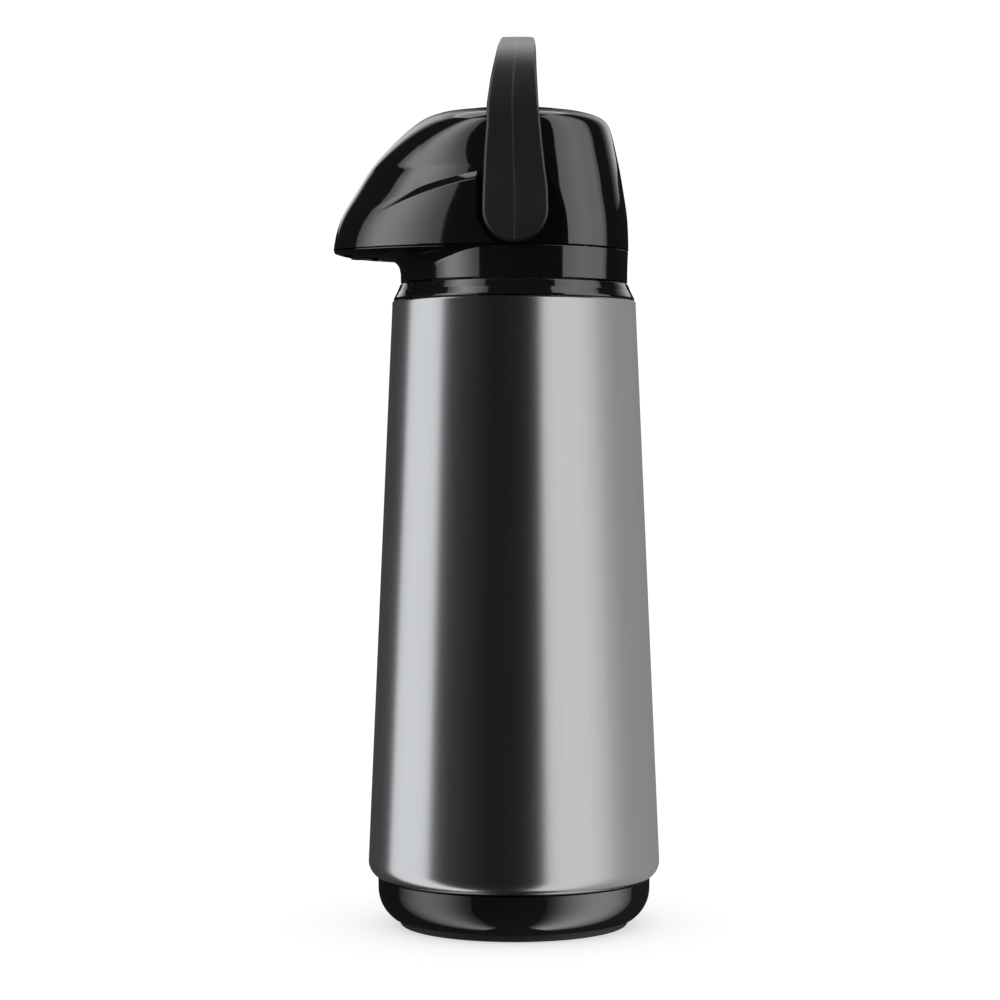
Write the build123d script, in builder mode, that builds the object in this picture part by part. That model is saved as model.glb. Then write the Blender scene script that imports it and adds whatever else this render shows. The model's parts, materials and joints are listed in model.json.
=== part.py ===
"""A one-litre pump airpot: a glass flask in a tapered steel shell, with a pump head and a bail handle.

Millimetres, +Z up. The origin is the centre of the face the pot stands on, on the vessel's axis.
The spout points along -X, and the handle's pivots lie on the Y axis of the head.
"""

from build123d import *
import math
import os

os.makedirs("parts", exist_ok=True)

# Vessel
shell_z_low = 20.1  # lower edge of the steel shell
shell_z_top = 258.4
shell_wall = 0.6
curl_r = 7.0  # lower end of the shell, curled in
curl_centre = (53.4, 26.4)  # radius, height
curl_from = -64.2  # degrees
curl_to = 4.1
taper_top = (50.4, 257.0)  # radius, height where the straight taper ends
cup_r = 56.4
cup_z_low = 1.2
cup_z_top = 19.8
cup_corner_r = 14.8
cup_corner_z = 15.2
spigot_r = 51.0
spigot_z_top = 32.0
foot_r_in = 40.0
foot_r_out = 47.3
foot_height = 3.0
cup_wall = 2.5
cup_centre_z = 4.0  # inside of the cup's floor, in the middle
cup_floor_z = 5.4  # and outside the pedestal
cup_bend = (44.0, 6.5)  # radius, height where the floor turns up
pedestal_r_in = 11.0
pedestal_r_out = 33.0
pedestal_z = 14.0
insert_z_low = 21.0
insert_z_top = 36.0

# Flask
flask_r = 46.0
flask_z_low = 22.0
flask_z_shoulder = 236.0
flask_z_mouth = 252.0
flask_corner_r = 22.0
flask_neck_r = 23.0
glass = 1.6
vacuum = 2.8
spacer_z = 70.0
spacer_height = 8.0
cushion_r_in = 8.0
cushion_r_out = 31.0
mouth_gasket_r = 30.0
centering_z_low = 120.0
centering_z_top = 132.0

# Neck ring
lip_z_low = 258.6
lip_z_top = 265.0
lip_r_low = 49.8
lip_r_top = 47.1
lip_middle = (48.4, 262.0)  # radius, height on the lip's arc
bore_r = 40.0
funnel_z = 250.0
skirt_r_in = 46.6
skirt_r_out = 48.6
skirt_z_low = 244.0

# Pump head
collar_z_low = 265.6
collar_r_low = 46.9
collar_r_top = 47.25
split_z = 278.5  # plane between head base and hood
groove = 0.4  # visible gap at that plane
plate = 2.2  # wall of the head's mouldings
head_r = 47.4
visor_reach = 74.5
visor_half_width = 47.15
visor_z_low = 275.5
visor_low_reach = 60.0  # the underside's outline at visor_z_low
visor_low_half_width = 45.8
# Front half of the head's outline: a blunt nose on tapered sides, rounding to a plain ellipse higher up
nose_power = 4.0
side_taper = 22.4  # taken off each side at the very front
side_taper_power = 1.7
round_z_low = 311.0
round_z_top = 331.2
# Hood: height, reach of the front, radius of the back
hood_sections = [
    (split_z + groove, visor_reach, head_r),
    (286.0, 73.2, 47.25),
    (294.0, 70.1, 46.7),
    (302.0, 65.3, 45.5),
    (311.0, 59.7, 44.0),
    (320.0, 52.1, 42.1),
    (328.0, 44.0, 40.1),
    (331.2, 40.2, 38.6),
    (333.5, 36.2, 35.6),
    (335.0, 32.0, 30.9),
]
cavity_sections = 8  # the hood's hollow stops at the eighth section
boss_circle_r = 40.5
boss_r = 3.2
boss_z_top = 292.0
boss_rib_rear = 5.2  # from a boss's axis out to the wall
boss_rib_front = 12.8
stopper_z_low = 254.5
stopper_r = 39.2
stopper_neck_r = 34.0
stopper_step_z = 263.0
stopper_screw_r = 25.0
floor_z = split_z - plate  # underside of the head base's floor

# Pump
deck_z_low = 291.0
deck_z_top = 294.0
deck_r = 33.0
deck_screw_r = 31.0
pad_r = 29.0
pad_gap = 0.5
pad_z_edge = 335.0
pad_z_crown = 337.0
pad_z_low = 316.0
bellows_plate_z = 325.0
bellows_plate_t = 2.0
bellows_r_out = 26.0
bellows_r_in = 21.0
bellows_wall = 1.2
bellows_folds = 5
spring_r = 13.0
spring_wire_r = 0.8
spring_turns = 6
valve_r = 6.0
seal_r = 5.9

# Pouring side
tube_r = 3.5
tube_bore_r = 2.5
dip_z_low = 32.0
seat_z = 263.0
ball_r = 3.5
ball_travel = 3.0
pipe_z = 285.5
pipe_bend_r = 7.0
pipe_z_low = 275.8
nozzle_x = -62.0
nozzle_r = 5.5
nozzle_opening_length = 16.5
nozzle_opening_width = 24.0
nozzle_opening_corner = 5.0
cage_r = 7.5

# Handle
pivot_z = 292.5
arm_end_r = 13.4
arm_y_in = 44.3
arm_y_out = 50.0
handle_z_top = 364.9
handle_z_under = 357.9
handle_corner_r = 34.0
handle_inner_corner_r = 28.0
# Edges of the handle seen along Y, from pivot to crown: x, height
handle_front = [
    (-13.2, pivot_z),
    (-12.0, 317.0),
    (-11.1, 334.6),
    (-8.6, 351.0),
    (-5.6, 361.0),
    (-4.4, 365.5),
]
handle_rear = [(13.2, pivot_z), (11.2, 317.0), (9.1, 343.0), (8.7, 357.0), (7.4, 365.5)]
pin_r = 5.0
pin_y_end = 36.9
bore_clearance = 0.05
pocket_y = 42.6
pocket_r = 15.0
ear_y_in = 37.0
ear_y_out = 40.0
ear_r = 9.0
washer_r = 7.0
washer_t = 1.0

# Screws
screw_r = 1.2
screw_head_r = 2.6
screw_head = 1.7
hole_gap = 0.05


def lathe(points, mode=Mode.ADD):
    """Turns a closed outline of (radius, height) points about the axis."""
    with BuildSketch(Plane.XZ) as outline:
        with BuildLine():
            Polyline(*points, close=True)
        make_face()
    revolve(outline.sketch, axis=Axis.Z, mode=mode)


def post(x, y, radius, z_low, z_top, mode=Mode.ADD):
    """A round post, or with Mode.SUBTRACT a round hole, parallel to the axis."""
    with BuildSketch(Plane.XY.offset(z_low)) as outline:
        with Locations((x, y)):
            Circle(radius)
    extrude(outline.sketch, amount=z_top - z_low, mode=mode)


def ring(r_out, r_in, z_low, z_top, mode=Mode.ADD):
    """A plain ring about the axis."""
    with BuildSketch(Plane.XY.offset(z_low)) as outline:
        Circle(r_out)
        Circle(r_in, mode=Mode.SUBTRACT)
    extrude(outline.sketch, amount=z_top - z_low, mode=mode)


def around(radius, *angles):
    """Points on a circle about the axis, one for each angle in degrees."""
    return [
        (radius * math.cos(math.radians(a)), radius * math.sin(math.radians(a)))
        for a in angles
    ]


def curl_point(radius, angle):
    """A point on the shell's lower curl."""
    turn = math.radians(angle)
    return (
        curl_centre[0] + radius * math.cos(turn),
        curl_centre[1] + radius * math.sin(turn),
    )


def bottle(inset, z_top, mode=Mode.ADD):
    """The flask's outline, moved in by inset, as a solid up to z_top."""
    radius = flask_r - inset
    corner = flask_corner_r - inset
    z_low = flask_z_low + inset
    z_shoulder = flask_z_shoulder - inset
    neck = flask_neck_r - inset
    with BuildSketch(Plane.XZ) as outline:
        with BuildLine():
            Line((0, z_low), (radius - corner, z_low))
            RadiusArc((radius - corner, z_low), (radius, z_low + corner), -corner)
            Line((radius, z_low + corner), (radius, z_shoulder - corner))
            RadiusArc(
                (radius, z_shoulder - corner), (radius - corner, z_shoulder), -corner
            )
            Polyline(
                (radius - corner, z_shoulder),
                (neck, z_shoulder),
                (neck, z_top),
                (0, z_top),
                (0, z_low),
            )
        make_face()
    revolve(outline.sketch, axis=Axis.Z, mode=mode)


def front_outline(reach, half_width, height):
    """Points of the head's front half, whose sides close on the round back."""
    steps = 16
    blend = min(max((round_z_top - height) / (round_z_top - round_z_low), 0), 1)
    power = 2 + (nose_power - 2) * blend
    points = []
    for i in range(steps + 1):
        turn = math.pi * i / steps
        scale = (math.sin(turn) ** power + abs(math.cos(turn)) ** power) ** (-1 / power)
        ahead = math.sin(turn) * scale
        aside = math.cos(turn) * scale
        taper = side_taper * blend * ahead**side_taper_power
        points.append((-reach * ahead, (half_width - taper) * aside))
    return points


def head_section(height, reach, radius):
    """The head's outline at one height: a round back and the front half."""
    with BuildSketch(Plane.XY.offset(height)) as section:
        with BuildLine():
            CenterArc((0, 0), radius, -90, 180)
            Spline(*front_outline(reach, radius, height), tangents=((-1, 0), (1, 0)))
        make_face()
    return section.sketch


def cut_pockets(margin):
    """Cuts both handle pockets, grown by margin towards the inside of the hood."""
    with BuildSketch(Plane.XZ.offset(pocket_y - margin)) as side:
        with Locations((0, pivot_z)):
            Circle(pocket_r + margin)
            Rectangle(60, 60, align=(Align.MIN, Align.MAX))
            with Locations((-pocket_r - margin, 0)):
                Rectangle(80, 60, align=(Align.MIN, Align.MIN))
    for direction in (1, -1):
        extrude(
            mirror(side.sketch, about=Plane.XZ) if direction < 0 else side.sketch,
            amount=20,
            dir=(0, -direction, 0),
            mode=Mode.SUBTRACT,
        )


def arch(half_width, z_low, z_top, corner_r):
    """The outline of a bail seen along X."""
    with BuildSketch(Plane.YZ) as outline:
        with BuildLine():
            FilletPolyline(
                (-half_width, z_low),
                (-half_width, z_top),
                (half_width, z_top),
                (half_width, z_low),
                radius=corner_r,
            )
            Line((half_width, z_low), (-half_width, z_low))
        make_face()
    return outline.sketch


def screws(places, z_seat, length, up):
    """Screws parallel to the axis, all with their heads against z_seat."""
    way = 1 if up else -1
    for x, y in places:
        head_low = z_seat - screw_head if up else z_seat
        post(x, y, screw_head_r, head_low, head_low + screw_head)
        tip = z_seat + way * length
        post(x, y, screw_r, min(z_seat, tip), max(z_seat, tip))


# ---------------------------------------------------------------- vessel

with BuildPart() as foot_ring:
    ring(foot_r_out, foot_r_in, 0, foot_height)
foot_ring.part.label = "foot_ring"
export_step(foot_ring.part, "parts/foot_ring.step")

foot_seat = foot_height + 0.02
corner_centre_r = cup_r - cup_corner_r - 0.1
corner_drop = math.sqrt(cup_corner_r**2 - (foot_r_out + 0.1 - corner_centre_r) ** 2)
with BuildPart() as base_cup:
    with BuildSketch(Plane.XZ) as cup_outline:
        with BuildLine():
            Polyline(
                (0, cup_z_low),
                (foot_r_in - 0.1, cup_z_low),
                (foot_r_in - 0.1, foot_seat),
                (foot_r_out + 0.1, foot_seat),
                (foot_r_out + 0.1, cup_corner_z - corner_drop),
            )
            RadiusArc(
                (foot_r_out + 0.1, cup_corner_z - corner_drop),
                (corner_centre_r + cup_corner_r, cup_corner_z),
                -cup_corner_r,
            )
            Polyline(
                (corner_centre_r + cup_corner_r, cup_corner_z),
                (cup_r, cup_z_top),
                (spigot_r, cup_z_top),
                (spigot_r, spigot_z_top),
                (spigot_r - cup_wall, spigot_z_top),
                (spigot_r - cup_wall, pedestal_z),
                cup_bend,
                (foot_r_in, cup_floor_z),
                (pedestal_r_out, cup_floor_z),
                (pedestal_r_out, pedestal_z),
                (pedestal_r_in, pedestal_z),
                (pedestal_r_in, cup_centre_z),
                (0, cup_centre_z),
                (0, cup_z_low),
            )
        make_face()
    revolve(axis=Axis.Z)
base_cup.part.label = "base_cup"
export_step(base_cup.part, "parts/base_cup.step")

with BuildPart() as shell_base_insert:
    lathe(
        [
            (spigot_r + 0.15, insert_z_low),
            (55.8, insert_z_low),
            (58.4, 23.2),
            (59.2, 26.5),
            (58.9, insert_z_top),
            (spigot_r + 0.15, insert_z_top),
        ]
    )
shell_base_insert.part.label = "shell_base_insert"
export_step(shell_base_insert.part, "parts/shell_base_insert.step")

curl_inner_r = curl_r - shell_wall
curl_middle = (curl_from + curl_to) / 2
with BuildPart() as outer_shell:
    with BuildSketch(Plane.XZ) as shell_outline:
        with BuildLine():
            ThreePointArc(
                curl_point(curl_r, curl_from),
                curl_point(curl_r, curl_middle),
                curl_point(curl_r, curl_to),
            )
            Polyline(
                curl_point(curl_r, curl_to),
                taper_top,
                (taper_top[0] - 0.25, shell_z_top - 0.5),
                (taper_top[0] - 0.9, shell_z_top),
                (taper_top[0] - 1.5, shell_z_top),
                (taper_top[0] - 0.9, taper_top[1] - 0.4),
                curl_point(curl_inner_r, curl_to),
            )
            ThreePointArc(
                curl_point(curl_inner_r, curl_to),
                curl_point(curl_inner_r, curl_middle),
                curl_point(curl_inner_r, curl_from),
            )
            Line(
                curl_point(curl_inner_r, curl_from),
                curl_point(curl_r, curl_from),
            )
        make_face()
    revolve(axis=Axis.Z)
outer_shell.part.label = "outer_shell"
export_step(outer_shell.part, "parts/outer_shell.step")

with BuildPart() as neck_ring:
    with BuildSketch(Plane.XZ) as neck_outline:
        with BuildLine():
            ThreePointArc(
                (lip_r_low, lip_z_low),
                lip_middle,
                (lip_r_top, lip_z_top),
            )
            Polyline(
                (lip_r_top, lip_z_top),
                (bore_r + 1.5, lip_z_top),
                (bore_r, lip_z_top - 1.5),
                (bore_r, funnel_z + 3.0),
                (bore_r - 2.0, funnel_z + 0.8),
                (flask_neck_r + 0.2, funnel_z),
                (flask_neck_r + 0.2, funnel_z - 2.0),
                (bore_r - 1.5, funnel_z - 1.4),
                (bore_r + 2.0, funnel_z + 2.0),
                (bore_r + 2.0, lip_z_top - 2.5),
                (skirt_r_in, lip_z_top - 2.5),
                (skirt_r_in, skirt_z_low),
                (skirt_r_out, skirt_z_low),
                (skirt_r_out, lip_z_low),
                (lip_r_low, lip_z_low),
            )
        make_face()
    revolve(axis=Axis.Z)
neck_ring.part.label = "neck_ring"
export_step(neck_ring.part, "parts/neck_ring.step")

with BuildPart() as glass_liner:
    bottle(0, flask_z_mouth)
    bottle(glass, flask_z_mouth - glass, mode=Mode.SUBTRACT)
    bottle(glass + vacuum, flask_z_mouth)
    bottle(2 * glass + vacuum, flask_z_mouth + 1, mode=Mode.SUBTRACT)
    # the sealed tip through which the flask was evacuated
    lathe(
        [(0, flask_z_low + 0.4), (4, flask_z_low + 0.4), (1, flask_z_low - 4), (0, flask_z_low - 4)]
    )
glass_liner.part.label = "glass_liner"
export_step(glass_liner.part, "parts/glass_liner.step")

with BuildPart() as liner_spacers:
    with BuildSketch(Plane.XZ) as spacer_outline:
        with Locations((flask_r - glass - vacuum / 2, spacer_z)):
            Rectangle(vacuum - 0.1, spacer_height)
    for start in (0, 120, 240):
        revolve(spacer_outline.sketch.rotate(Axis.Z, start), axis=Axis.Z, revolution_arc=12)
liner_spacers.part.label = "liner_spacers"
export_step(liner_spacers.part, "parts/liner_spacers.step")

with BuildPart() as liner_cushion:
    lathe(
        [
            (cushion_r_in + 4.0, pedestal_z + 0.02),
            (cushion_r_out, pedestal_z + 0.02),
            (cushion_r_out, flask_z_low - 0.02),
            (cushion_r_in, flask_z_low - 0.02),
            (cushion_r_in, pedestal_z + 3.0),
        ]
    )
liner_cushion.part.label = "liner_cushion"
export_step(liner_cushion.part, "parts/liner_cushion.step")

with BuildPart() as mouth_gasket:
    ring(mouth_gasket_r, flask_neck_r + 0.05, flask_z_shoulder + 0.1, funnel_z - 2.02)
mouth_gasket.part.label = "mouth_gasket"
export_step(mouth_gasket.part, "parts/mouth_gasket.step")

with BuildPart() as centering_ring:
    lathe(
        [
            (flask_r + 0.1, centering_z_low),
            (55.5, centering_z_low),
            (55.0, centering_z_top),
            (flask_r + 0.1, centering_z_top),
        ]
    )
centering_ring.part.label = "centering_ring"
export_step(centering_ring.part, "parts/centering_ring.step")

# ---------------------------------------------------------------- head: seal and stopper

with BuildPart() as head_gasket:
    ring(22.5, 17.2, flask_z_mouth + 0.05, stopper_z_low - 0.02)
head_gasket.part.label = "head_gasket"
export_step(head_gasket.part, "parts/head_gasket.step")

stopper_screw_places = around(stopper_screw_r, 30, 150, 270)
with BuildPart() as head_stopper:
    lathe(
        [
            (tube_r + hole_gap, stopper_z_low),
            (stopper_r - 1.0, stopper_z_low),
            (stopper_r, stopper_z_low + 1.0),
            (stopper_r, stopper_step_z + plate),
            (stopper_neck_r, stopper_step_z + plate),
            (stopper_neck_r, floor_z - 0.02),
            (stopper_neck_r - plate, floor_z - 0.02),
            (stopper_neck_r - plate, stopper_step_z),
            (stopper_r - plate, stopper_step_z),
            (stopper_r - plate, stopper_z_low + 2.5),
            (tube_r + hole_gap, stopper_z_low + 2.5),
        ]
    )
    for x, y in stopper_screw_places:
        post(x, y, 3.0, stopper_z_low + 2.0, floor_z - 0.02)
        post(x, y, screw_r + hole_gap, floor_z - 10, floor_z, mode=Mode.SUBTRACT)
    for x, y in around(12.0, 0, 120, 240):
        post(x, y, 2.0, stopper_z_low - 1, stopper_z_low + 3, mode=Mode.SUBTRACT)
head_stopper.part.label = "head_stopper"
export_step(head_stopper.part, "parts/head_stopper.step")

# ---------------------------------------------------------------- head: mouldings

cover_screw_places = around(boss_circle_r, 45, 135, 225, 315)
deck_screw_places = around(deck_screw_r, 0, 120, 240)

with BuildPart() as head_base:
    # collar and floor
    lathe(
        [
            (collar_r_low - 0.4, collar_z_low),
            (collar_r_low, collar_z_low + 0.4),
            (collar_r_top, split_z),
            (0, split_z),
            (0, floor_z),
            (collar_r_top - plate, floor_z),
            (collar_r_low - plate, collar_z_low),
        ]
    )
    # underside of the spout
    with BuildSketch(Plane.XY.offset(visor_z_low)) as visor_low:
        with BuildLine():
            Spline(
                *front_outline(visor_low_reach, visor_low_half_width, visor_z_low),
                tangents=((-1, 0), (1, 0)),
            )
            Line((0, -visor_low_half_width), (0, visor_low_half_width))
        make_face()
    with BuildSketch(Plane.XY.offset(split_z)) as visor_top:
        with BuildLine():
            Spline(
                *front_outline(visor_reach, visor_half_width, split_z),
                tangents=((-1, 0), (1, 0)),
            )
            Line((0, -visor_half_width), (0, visor_half_width))
        make_face()
    loft(sections=[visor_low.sketch, visor_top.sketch], ruled=True)
    post(0, 0, collar_r_top - plate, visor_z_low - 1, floor_z, mode=Mode.SUBTRACT)
    # opening for the nozzle
    with BuildSketch(Plane.XY.offset(visor_z_low - 1)) as nozzle_opening:
        with Locations((nozzle_x, 0)):
            RectangleRounded(
                nozzle_opening_length, nozzle_opening_width, nozzle_opening_corner
            )
    extrude(nozzle_opening.sketch, amount=5, mode=Mode.SUBTRACT)
    # ring that carries the pump deck, with a gap for the pouring pipe
    ring(deck_screw_r + 1, deck_screw_r - 1, split_z, deck_z_low - 0.02)
    for x, y in deck_screw_places:
        post(x, y, boss_r, split_z, deck_z_low - 0.02)
        post(x, y, screw_r + hole_gap, deck_z_low - 9, deck_z_low, mode=Mode.SUBTRACT)
    with BuildSketch(Plane.XY.offset(pipe_z - tube_r - 0.5)) as pipe_gap:
        with Locations((-deck_screw_r, 0)):
            Rectangle(6, 2 * tube_r + 1)
    extrude(pipe_gap.sketch, amount=20, mode=Mode.SUBTRACT)
    # ears with the handle's bores
    with BuildSketch(Plane.XZ.offset(ear_y_in)) as ear:
        with Locations((0, pivot_z)):
            Circle(ear_r)
            Rectangle(2 * ear_r, pivot_z - split_z + 1, align=(Align.CENTER, Align.MAX))
            Circle(pin_r + bore_clearance, mode=Mode.SUBTRACT)
    extrude(ear.sketch, amount=ear_y_out - ear_y_in)
    extrude(mirror(ear.sketch, about=Plane.XZ), amount=ear_y_out - ear_y_in, dir=(0, 1, 0))
    # passages for air, pipe and screws
    post(0, 0, 4.5, floor_z - 1, split_z + 1, mode=Mode.SUBTRACT)
    for x, y in around(14.0, 0, 120, 240):
        post(x, y, 2.5, floor_z - 1, split_z + 1, mode=Mode.SUBTRACT)
    for x, y in stopper_screw_places + cover_screw_places:
        post(x, y, screw_r + 0.3, floor_z - 1, split_z + 1, mode=Mode.SUBTRACT)
head_base.part.label = "head_base"
export_step(head_base.part, "parts/head_base.step")

with BuildPart() as hood_cavity:
    loft(
        sections=[
            head_section(z, reach - plate, radius - plate)
            for z, reach, radius in hood_sections[:cavity_sections]
        ]
    )
    cut_pockets(plate)

with BuildPart() as head_cover:
    loft(sections=[head_section(*row) for row in hood_sections])
    cut_pockets(0)
    add(hood_cavity.part, mode=Mode.SUBTRACT)
    # sleeve that guides the pad
    sleeve_r = pad_r + pad_gap
    ring(sleeve_r + 1.8, sleeve_r, pad_z_low + 2.0, hood_sections[cavity_sections - 1][0] + 1)
    post(0, 0, sleeve_r, pad_z_low, pad_z_edge + 1, mode=Mode.SUBTRACT)
    # holes for the handle's pins
    with BuildSketch(Plane.XZ.offset(-pocket_y - 1)) as pin_holes:
        with Locations((0, pivot_z)):
            Circle(pin_r + 0.3)
    extrude(pin_holes.sketch, amount=2 * pocket_y + 2, mode=Mode.SUBTRACT)
    # screw bosses, each on a rib that reaches the wall
    for (x, y), angle in zip(cover_screw_places, (45, 135, 225, 315)):
        rib = boss_rib_rear if x > 0 else boss_rib_front
        with BuildSketch(Plane.XY.offset(split_z + groove)) as boss:
            with Locations(Location((x, y), angle)):
                Circle(boss_r)
                Rectangle(rib, 2.0, align=(Align.MIN, Align.CENTER))
        extrude(boss.sketch, amount=boss_z_top - split_z - groove)
        post(x, y, screw_r + hole_gap, split_z, boss_z_top - 2, mode=Mode.SUBTRACT)
head_cover.part.label = "head_cover"
export_step(head_cover.part, "parts/head_cover.step")

# ---------------------------------------------------------------- head: pouring side

with BuildPart() as dip_tube:
    ring(tube_r, tube_bore_r, dip_z_low, seat_z - 1.02)
dip_tube.part.label = "dip_tube"
export_step(dip_tube.part, "parts/dip_tube.step")

cage_z_low = stopper_z_low + 2.52
cage_z_top = floor_z - 0.3
ball_rest_z = seat_z + math.sqrt(ball_r**2 - tube_bore_r**2)
ball_stop_z = ball_rest_z + ball_travel + math.sqrt(ball_r**2 - tube_bore_r**2)
pipe_z_start = ball_stop_z + 0.1
with BuildPart() as valve_cage:
    lathe(
        [
            (cage_r, cage_z_low),
            (cage_r, cage_z_top),
            (tube_r + hole_gap, cage_z_top),
            (tube_r + hole_gap, pipe_z_start),
            (ball_r + 0.3, pipe_z_start),
            (ball_r + 0.3, seat_z),
            (tube_bore_r, seat_z),
            (tube_bore_r, seat_z - 1),
            (tube_r + hole_gap, seat_z - 1),
            (tube_r + hole_gap, cage_z_low),
        ]
    )
valve_cage.part.label = "valve_cage"
export_step(valve_cage.part, "parts/valve_cage.step")

with BuildPart() as valve_ball:
    with Locations((0, 0, ball_rest_z + 0.01)):
        Sphere(ball_r)
valve_ball.part.label = "valve_ball"
export_step(valve_ball.part, "parts/valve_ball.step")

with BuildPart() as pour_pipe:
    with BuildLine() as pipe_path:
        FilletPolyline(
            (0, 0, pipe_z_start + 0.02),
            (0, 0, pipe_z),
            (nozzle_x, 0, pipe_z),
            (nozzle_x, 0, pipe_z_low),
            radius=pipe_bend_r,
        )
    with BuildSketch(Plane.XY.offset(pipe_z_start + 0.02)):
        Circle(tube_r)
        Circle(tube_bore_r, mode=Mode.SUBTRACT)
    sweep(path=pipe_path.line)
pour_pipe.part.label = "pour_pipe"
export_step(pour_pipe.part, "parts/pour_pipe.step")

with BuildPart() as nozzle_tip:
    for radius, mode in ((nozzle_r, Mode.ADD), (tube_r + 0.02, Mode.SUBTRACT)):
        post(nozzle_x, 0, radius, pipe_z_low - 0.2, pipe_z - pipe_bend_r, mode=mode)
nozzle_tip.part.label = "nozzle_tip"
export_step(nozzle_tip.part, "parts/nozzle_tip.step")

# ---------------------------------------------------------------- head: pump

with BuildPart() as pump_deck:
    ring(deck_r, 1.6, deck_z_low, deck_z_top)
    for x, y in around(4.0, 45, 135, 225, 315):
        post(x, y, 1.2, deck_z_low - 1, deck_z_top + 1, mode=Mode.SUBTRACT)
    for x, y in deck_screw_places:
        post(x, y, screw_r + 0.3, deck_z_low - 1, deck_z_top + 1, mode=Mode.SUBTRACT)
pump_deck.part.label = "pump_deck"
export_step(pump_deck.part, "parts/pump_deck.step")

with BuildPart() as air_valve:
    lathe(
        [
            (0, deck_z_low - 1.0),
            (valve_r - 2.0, deck_z_low - 1.0),
            (valve_r, deck_z_low - 0.7),
            (valve_r, deck_z_low - 0.02),
            (1.5, deck_z_low - 0.02),
            (1.5, deck_z_top + 0.02),
            (2.2, deck_z_top + 0.02),
            (1.2, deck_z_top + 1.6),
            (0, deck_z_top + 1.6),
        ]
    )
air_valve.part.label = "air_valve"
export_step(air_valve.part, "parts/air_valve.step")

bellows_z_low = deck_z_top + 0.05
bellows_height = bellows_plate_z - 0.05 - bellows_z_low
fold_heights = [
    bellows_z_low + bellows_height * i / (2 * bellows_folds) for i in range(2 * bellows_folds + 1)
]
fold_radii = [bellows_r_out if i % 2 else bellows_r_in for i in range(2 * bellows_folds + 1)]
fold_points = list(zip(fold_radii, fold_heights))
with BuildPart() as bellows:
    lathe(fold_points + [(r - bellows_wall, z) for r, z in reversed(fold_points)])
bellows.part.label = "bellows"
export_step(bellows.part, "parts/bellows.step")

spring_z_low = bellows_z_low + spring_wire_r + 0.1
with BuildPart() as return_spring:
    spring_height = bellows_height - 2 * spring_wire_r - 0.2
    with BuildLine() as coil:
        Helix(
            pitch=spring_height / spring_turns,
            height=spring_height,
            radius=spring_r,
            center=(0, 0, spring_z_low),
        )
    with BuildSketch(Plane(origin=coil.line @ 0, z_dir=coil.line % 0)):
        Circle(spring_wire_r)
    sweep(path=coil.line, is_frenet=True)
return_spring.part.label = "return_spring"
export_step(return_spring.part, "parts/return_spring.step")

with BuildPart() as bellows_plate:
    ring(24.0, 3.0, bellows_plate_z, bellows_plate_z + bellows_plate_t)
bellows_plate.part.label = "bellows_plate"
export_step(bellows_plate.part, "parts/bellows_plate.step")

seal_z_low = bellows_plate_z + bellows_plate_t + 1.55
with BuildPart() as press_pad:
    with BuildSketch(Plane.XZ) as pad_outline:
        with BuildLine():
            ThreePointArc(
                (0, pad_z_crown), (14, pad_z_crown - 0.25), (pad_r - 1.5, pad_z_crown - 1.45)
            )
            ThreePointArc(
                (pad_r - 1.5, pad_z_crown - 1.45),
                (pad_r - 0.4, pad_z_crown - 1.8),
                (pad_r, pad_z_edge - 0.4),
            )
            Polyline(
                (pad_r, pad_z_edge - 0.4),
                (pad_r, pad_z_low),
                (pad_r - 1.8, pad_z_low),
                (pad_r - 1.8, pad_z_edge - 2.5),
                (8.0, pad_z_edge - 1.0),
                (8.0, seal_z_low + 0.8),
                (6.0, seal_z_low + 0.8),
                (6.0, seal_z_low + 2.5),
                (0, seal_z_low + 2.5),
                (0, pad_z_crown),
            )
        make_face()
    revolve(axis=Axis.Z)
    # three catches that stop the pad under the sleeve
    with BuildSketch(Plane.XY.offset(pad_z_low)) as catches:
        with PolarLocations(pad_r + 0.4, 3, start_angle=60):
            Rectangle(2.4, 7.0)
    extrude(catches.sketch, amount=1.8)
press_pad.part.label = "press_pad"
export_step(press_pad.part, "parts/press_pad.step")

with BuildPart() as vent_seal:
    post(0, 0, seal_r, seal_z_low, seal_z_low + 2.48)
vent_seal.part.label = "vent_seal"
export_step(vent_seal.part, "parts/vent_seal.step")

# ---------------------------------------------------------------- handle

with BuildPart() as handle:
    extrude(arch(arm_y_out, pivot_z - arm_end_r, handle_z_top, handle_corner_r), amount=20, both=True)
    extrude(
        arch(arm_y_in, pivot_z - arm_end_r - 1, handle_z_under, handle_inner_corner_r),
        amount=21,
        both=True,
        mode=Mode.SUBTRACT,
    )
    with BuildSketch(Plane.XZ.offset(-arm_y_out - 1)) as handle_side:
        with BuildLine():
            Spline(*handle_front)
            Line(handle_front[-1], handle_rear[-1])
            Spline(*handle_rear)
            Line(handle_rear[0], handle_front[0])
        make_face()
        with Locations((0, pivot_z)):
            Circle(arm_end_r)
    extrude(handle_side.sketch, amount=2 * arm_y_out + 2, mode=Mode.INTERSECT)
    # pins, each with a pilot hole for its screw
    for plane in (Plane.XZ, Plane.XZ.rotated((0, 0, 180))):
        for radius, start, end, mode in (
            (pin_r, pin_y_end, arm_y_in + 0.5, Mode.ADD),
            (screw_r + hole_gap, pin_y_end - 1, pin_y_end + 6, Mode.SUBTRACT),
        ):
            with BuildSketch(plane.offset(start)) as pin:
                with Locations((0, pivot_z)):
                    Circle(radius)
            extrude(pin.sketch, amount=end - start, mode=mode)
handle.part.label = "handle"
export_step(handle.part, "parts/handle.step")

with BuildPart() as pivot_washers:
    with BuildSketch(Plane.XZ.offset(pin_y_end - washer_t)) as washer:
        with Locations((0, pivot_z)):
            Circle(washer_r)
            Circle(screw_r + 0.2, mode=Mode.SUBTRACT)
    extrude(washer.sketch, amount=washer_t)
    mirror(about=Plane.XZ)
pivot_washers.part.label = "pivot_washers"
export_step(pivot_washers.part, "parts/pivot_washers.step")

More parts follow.
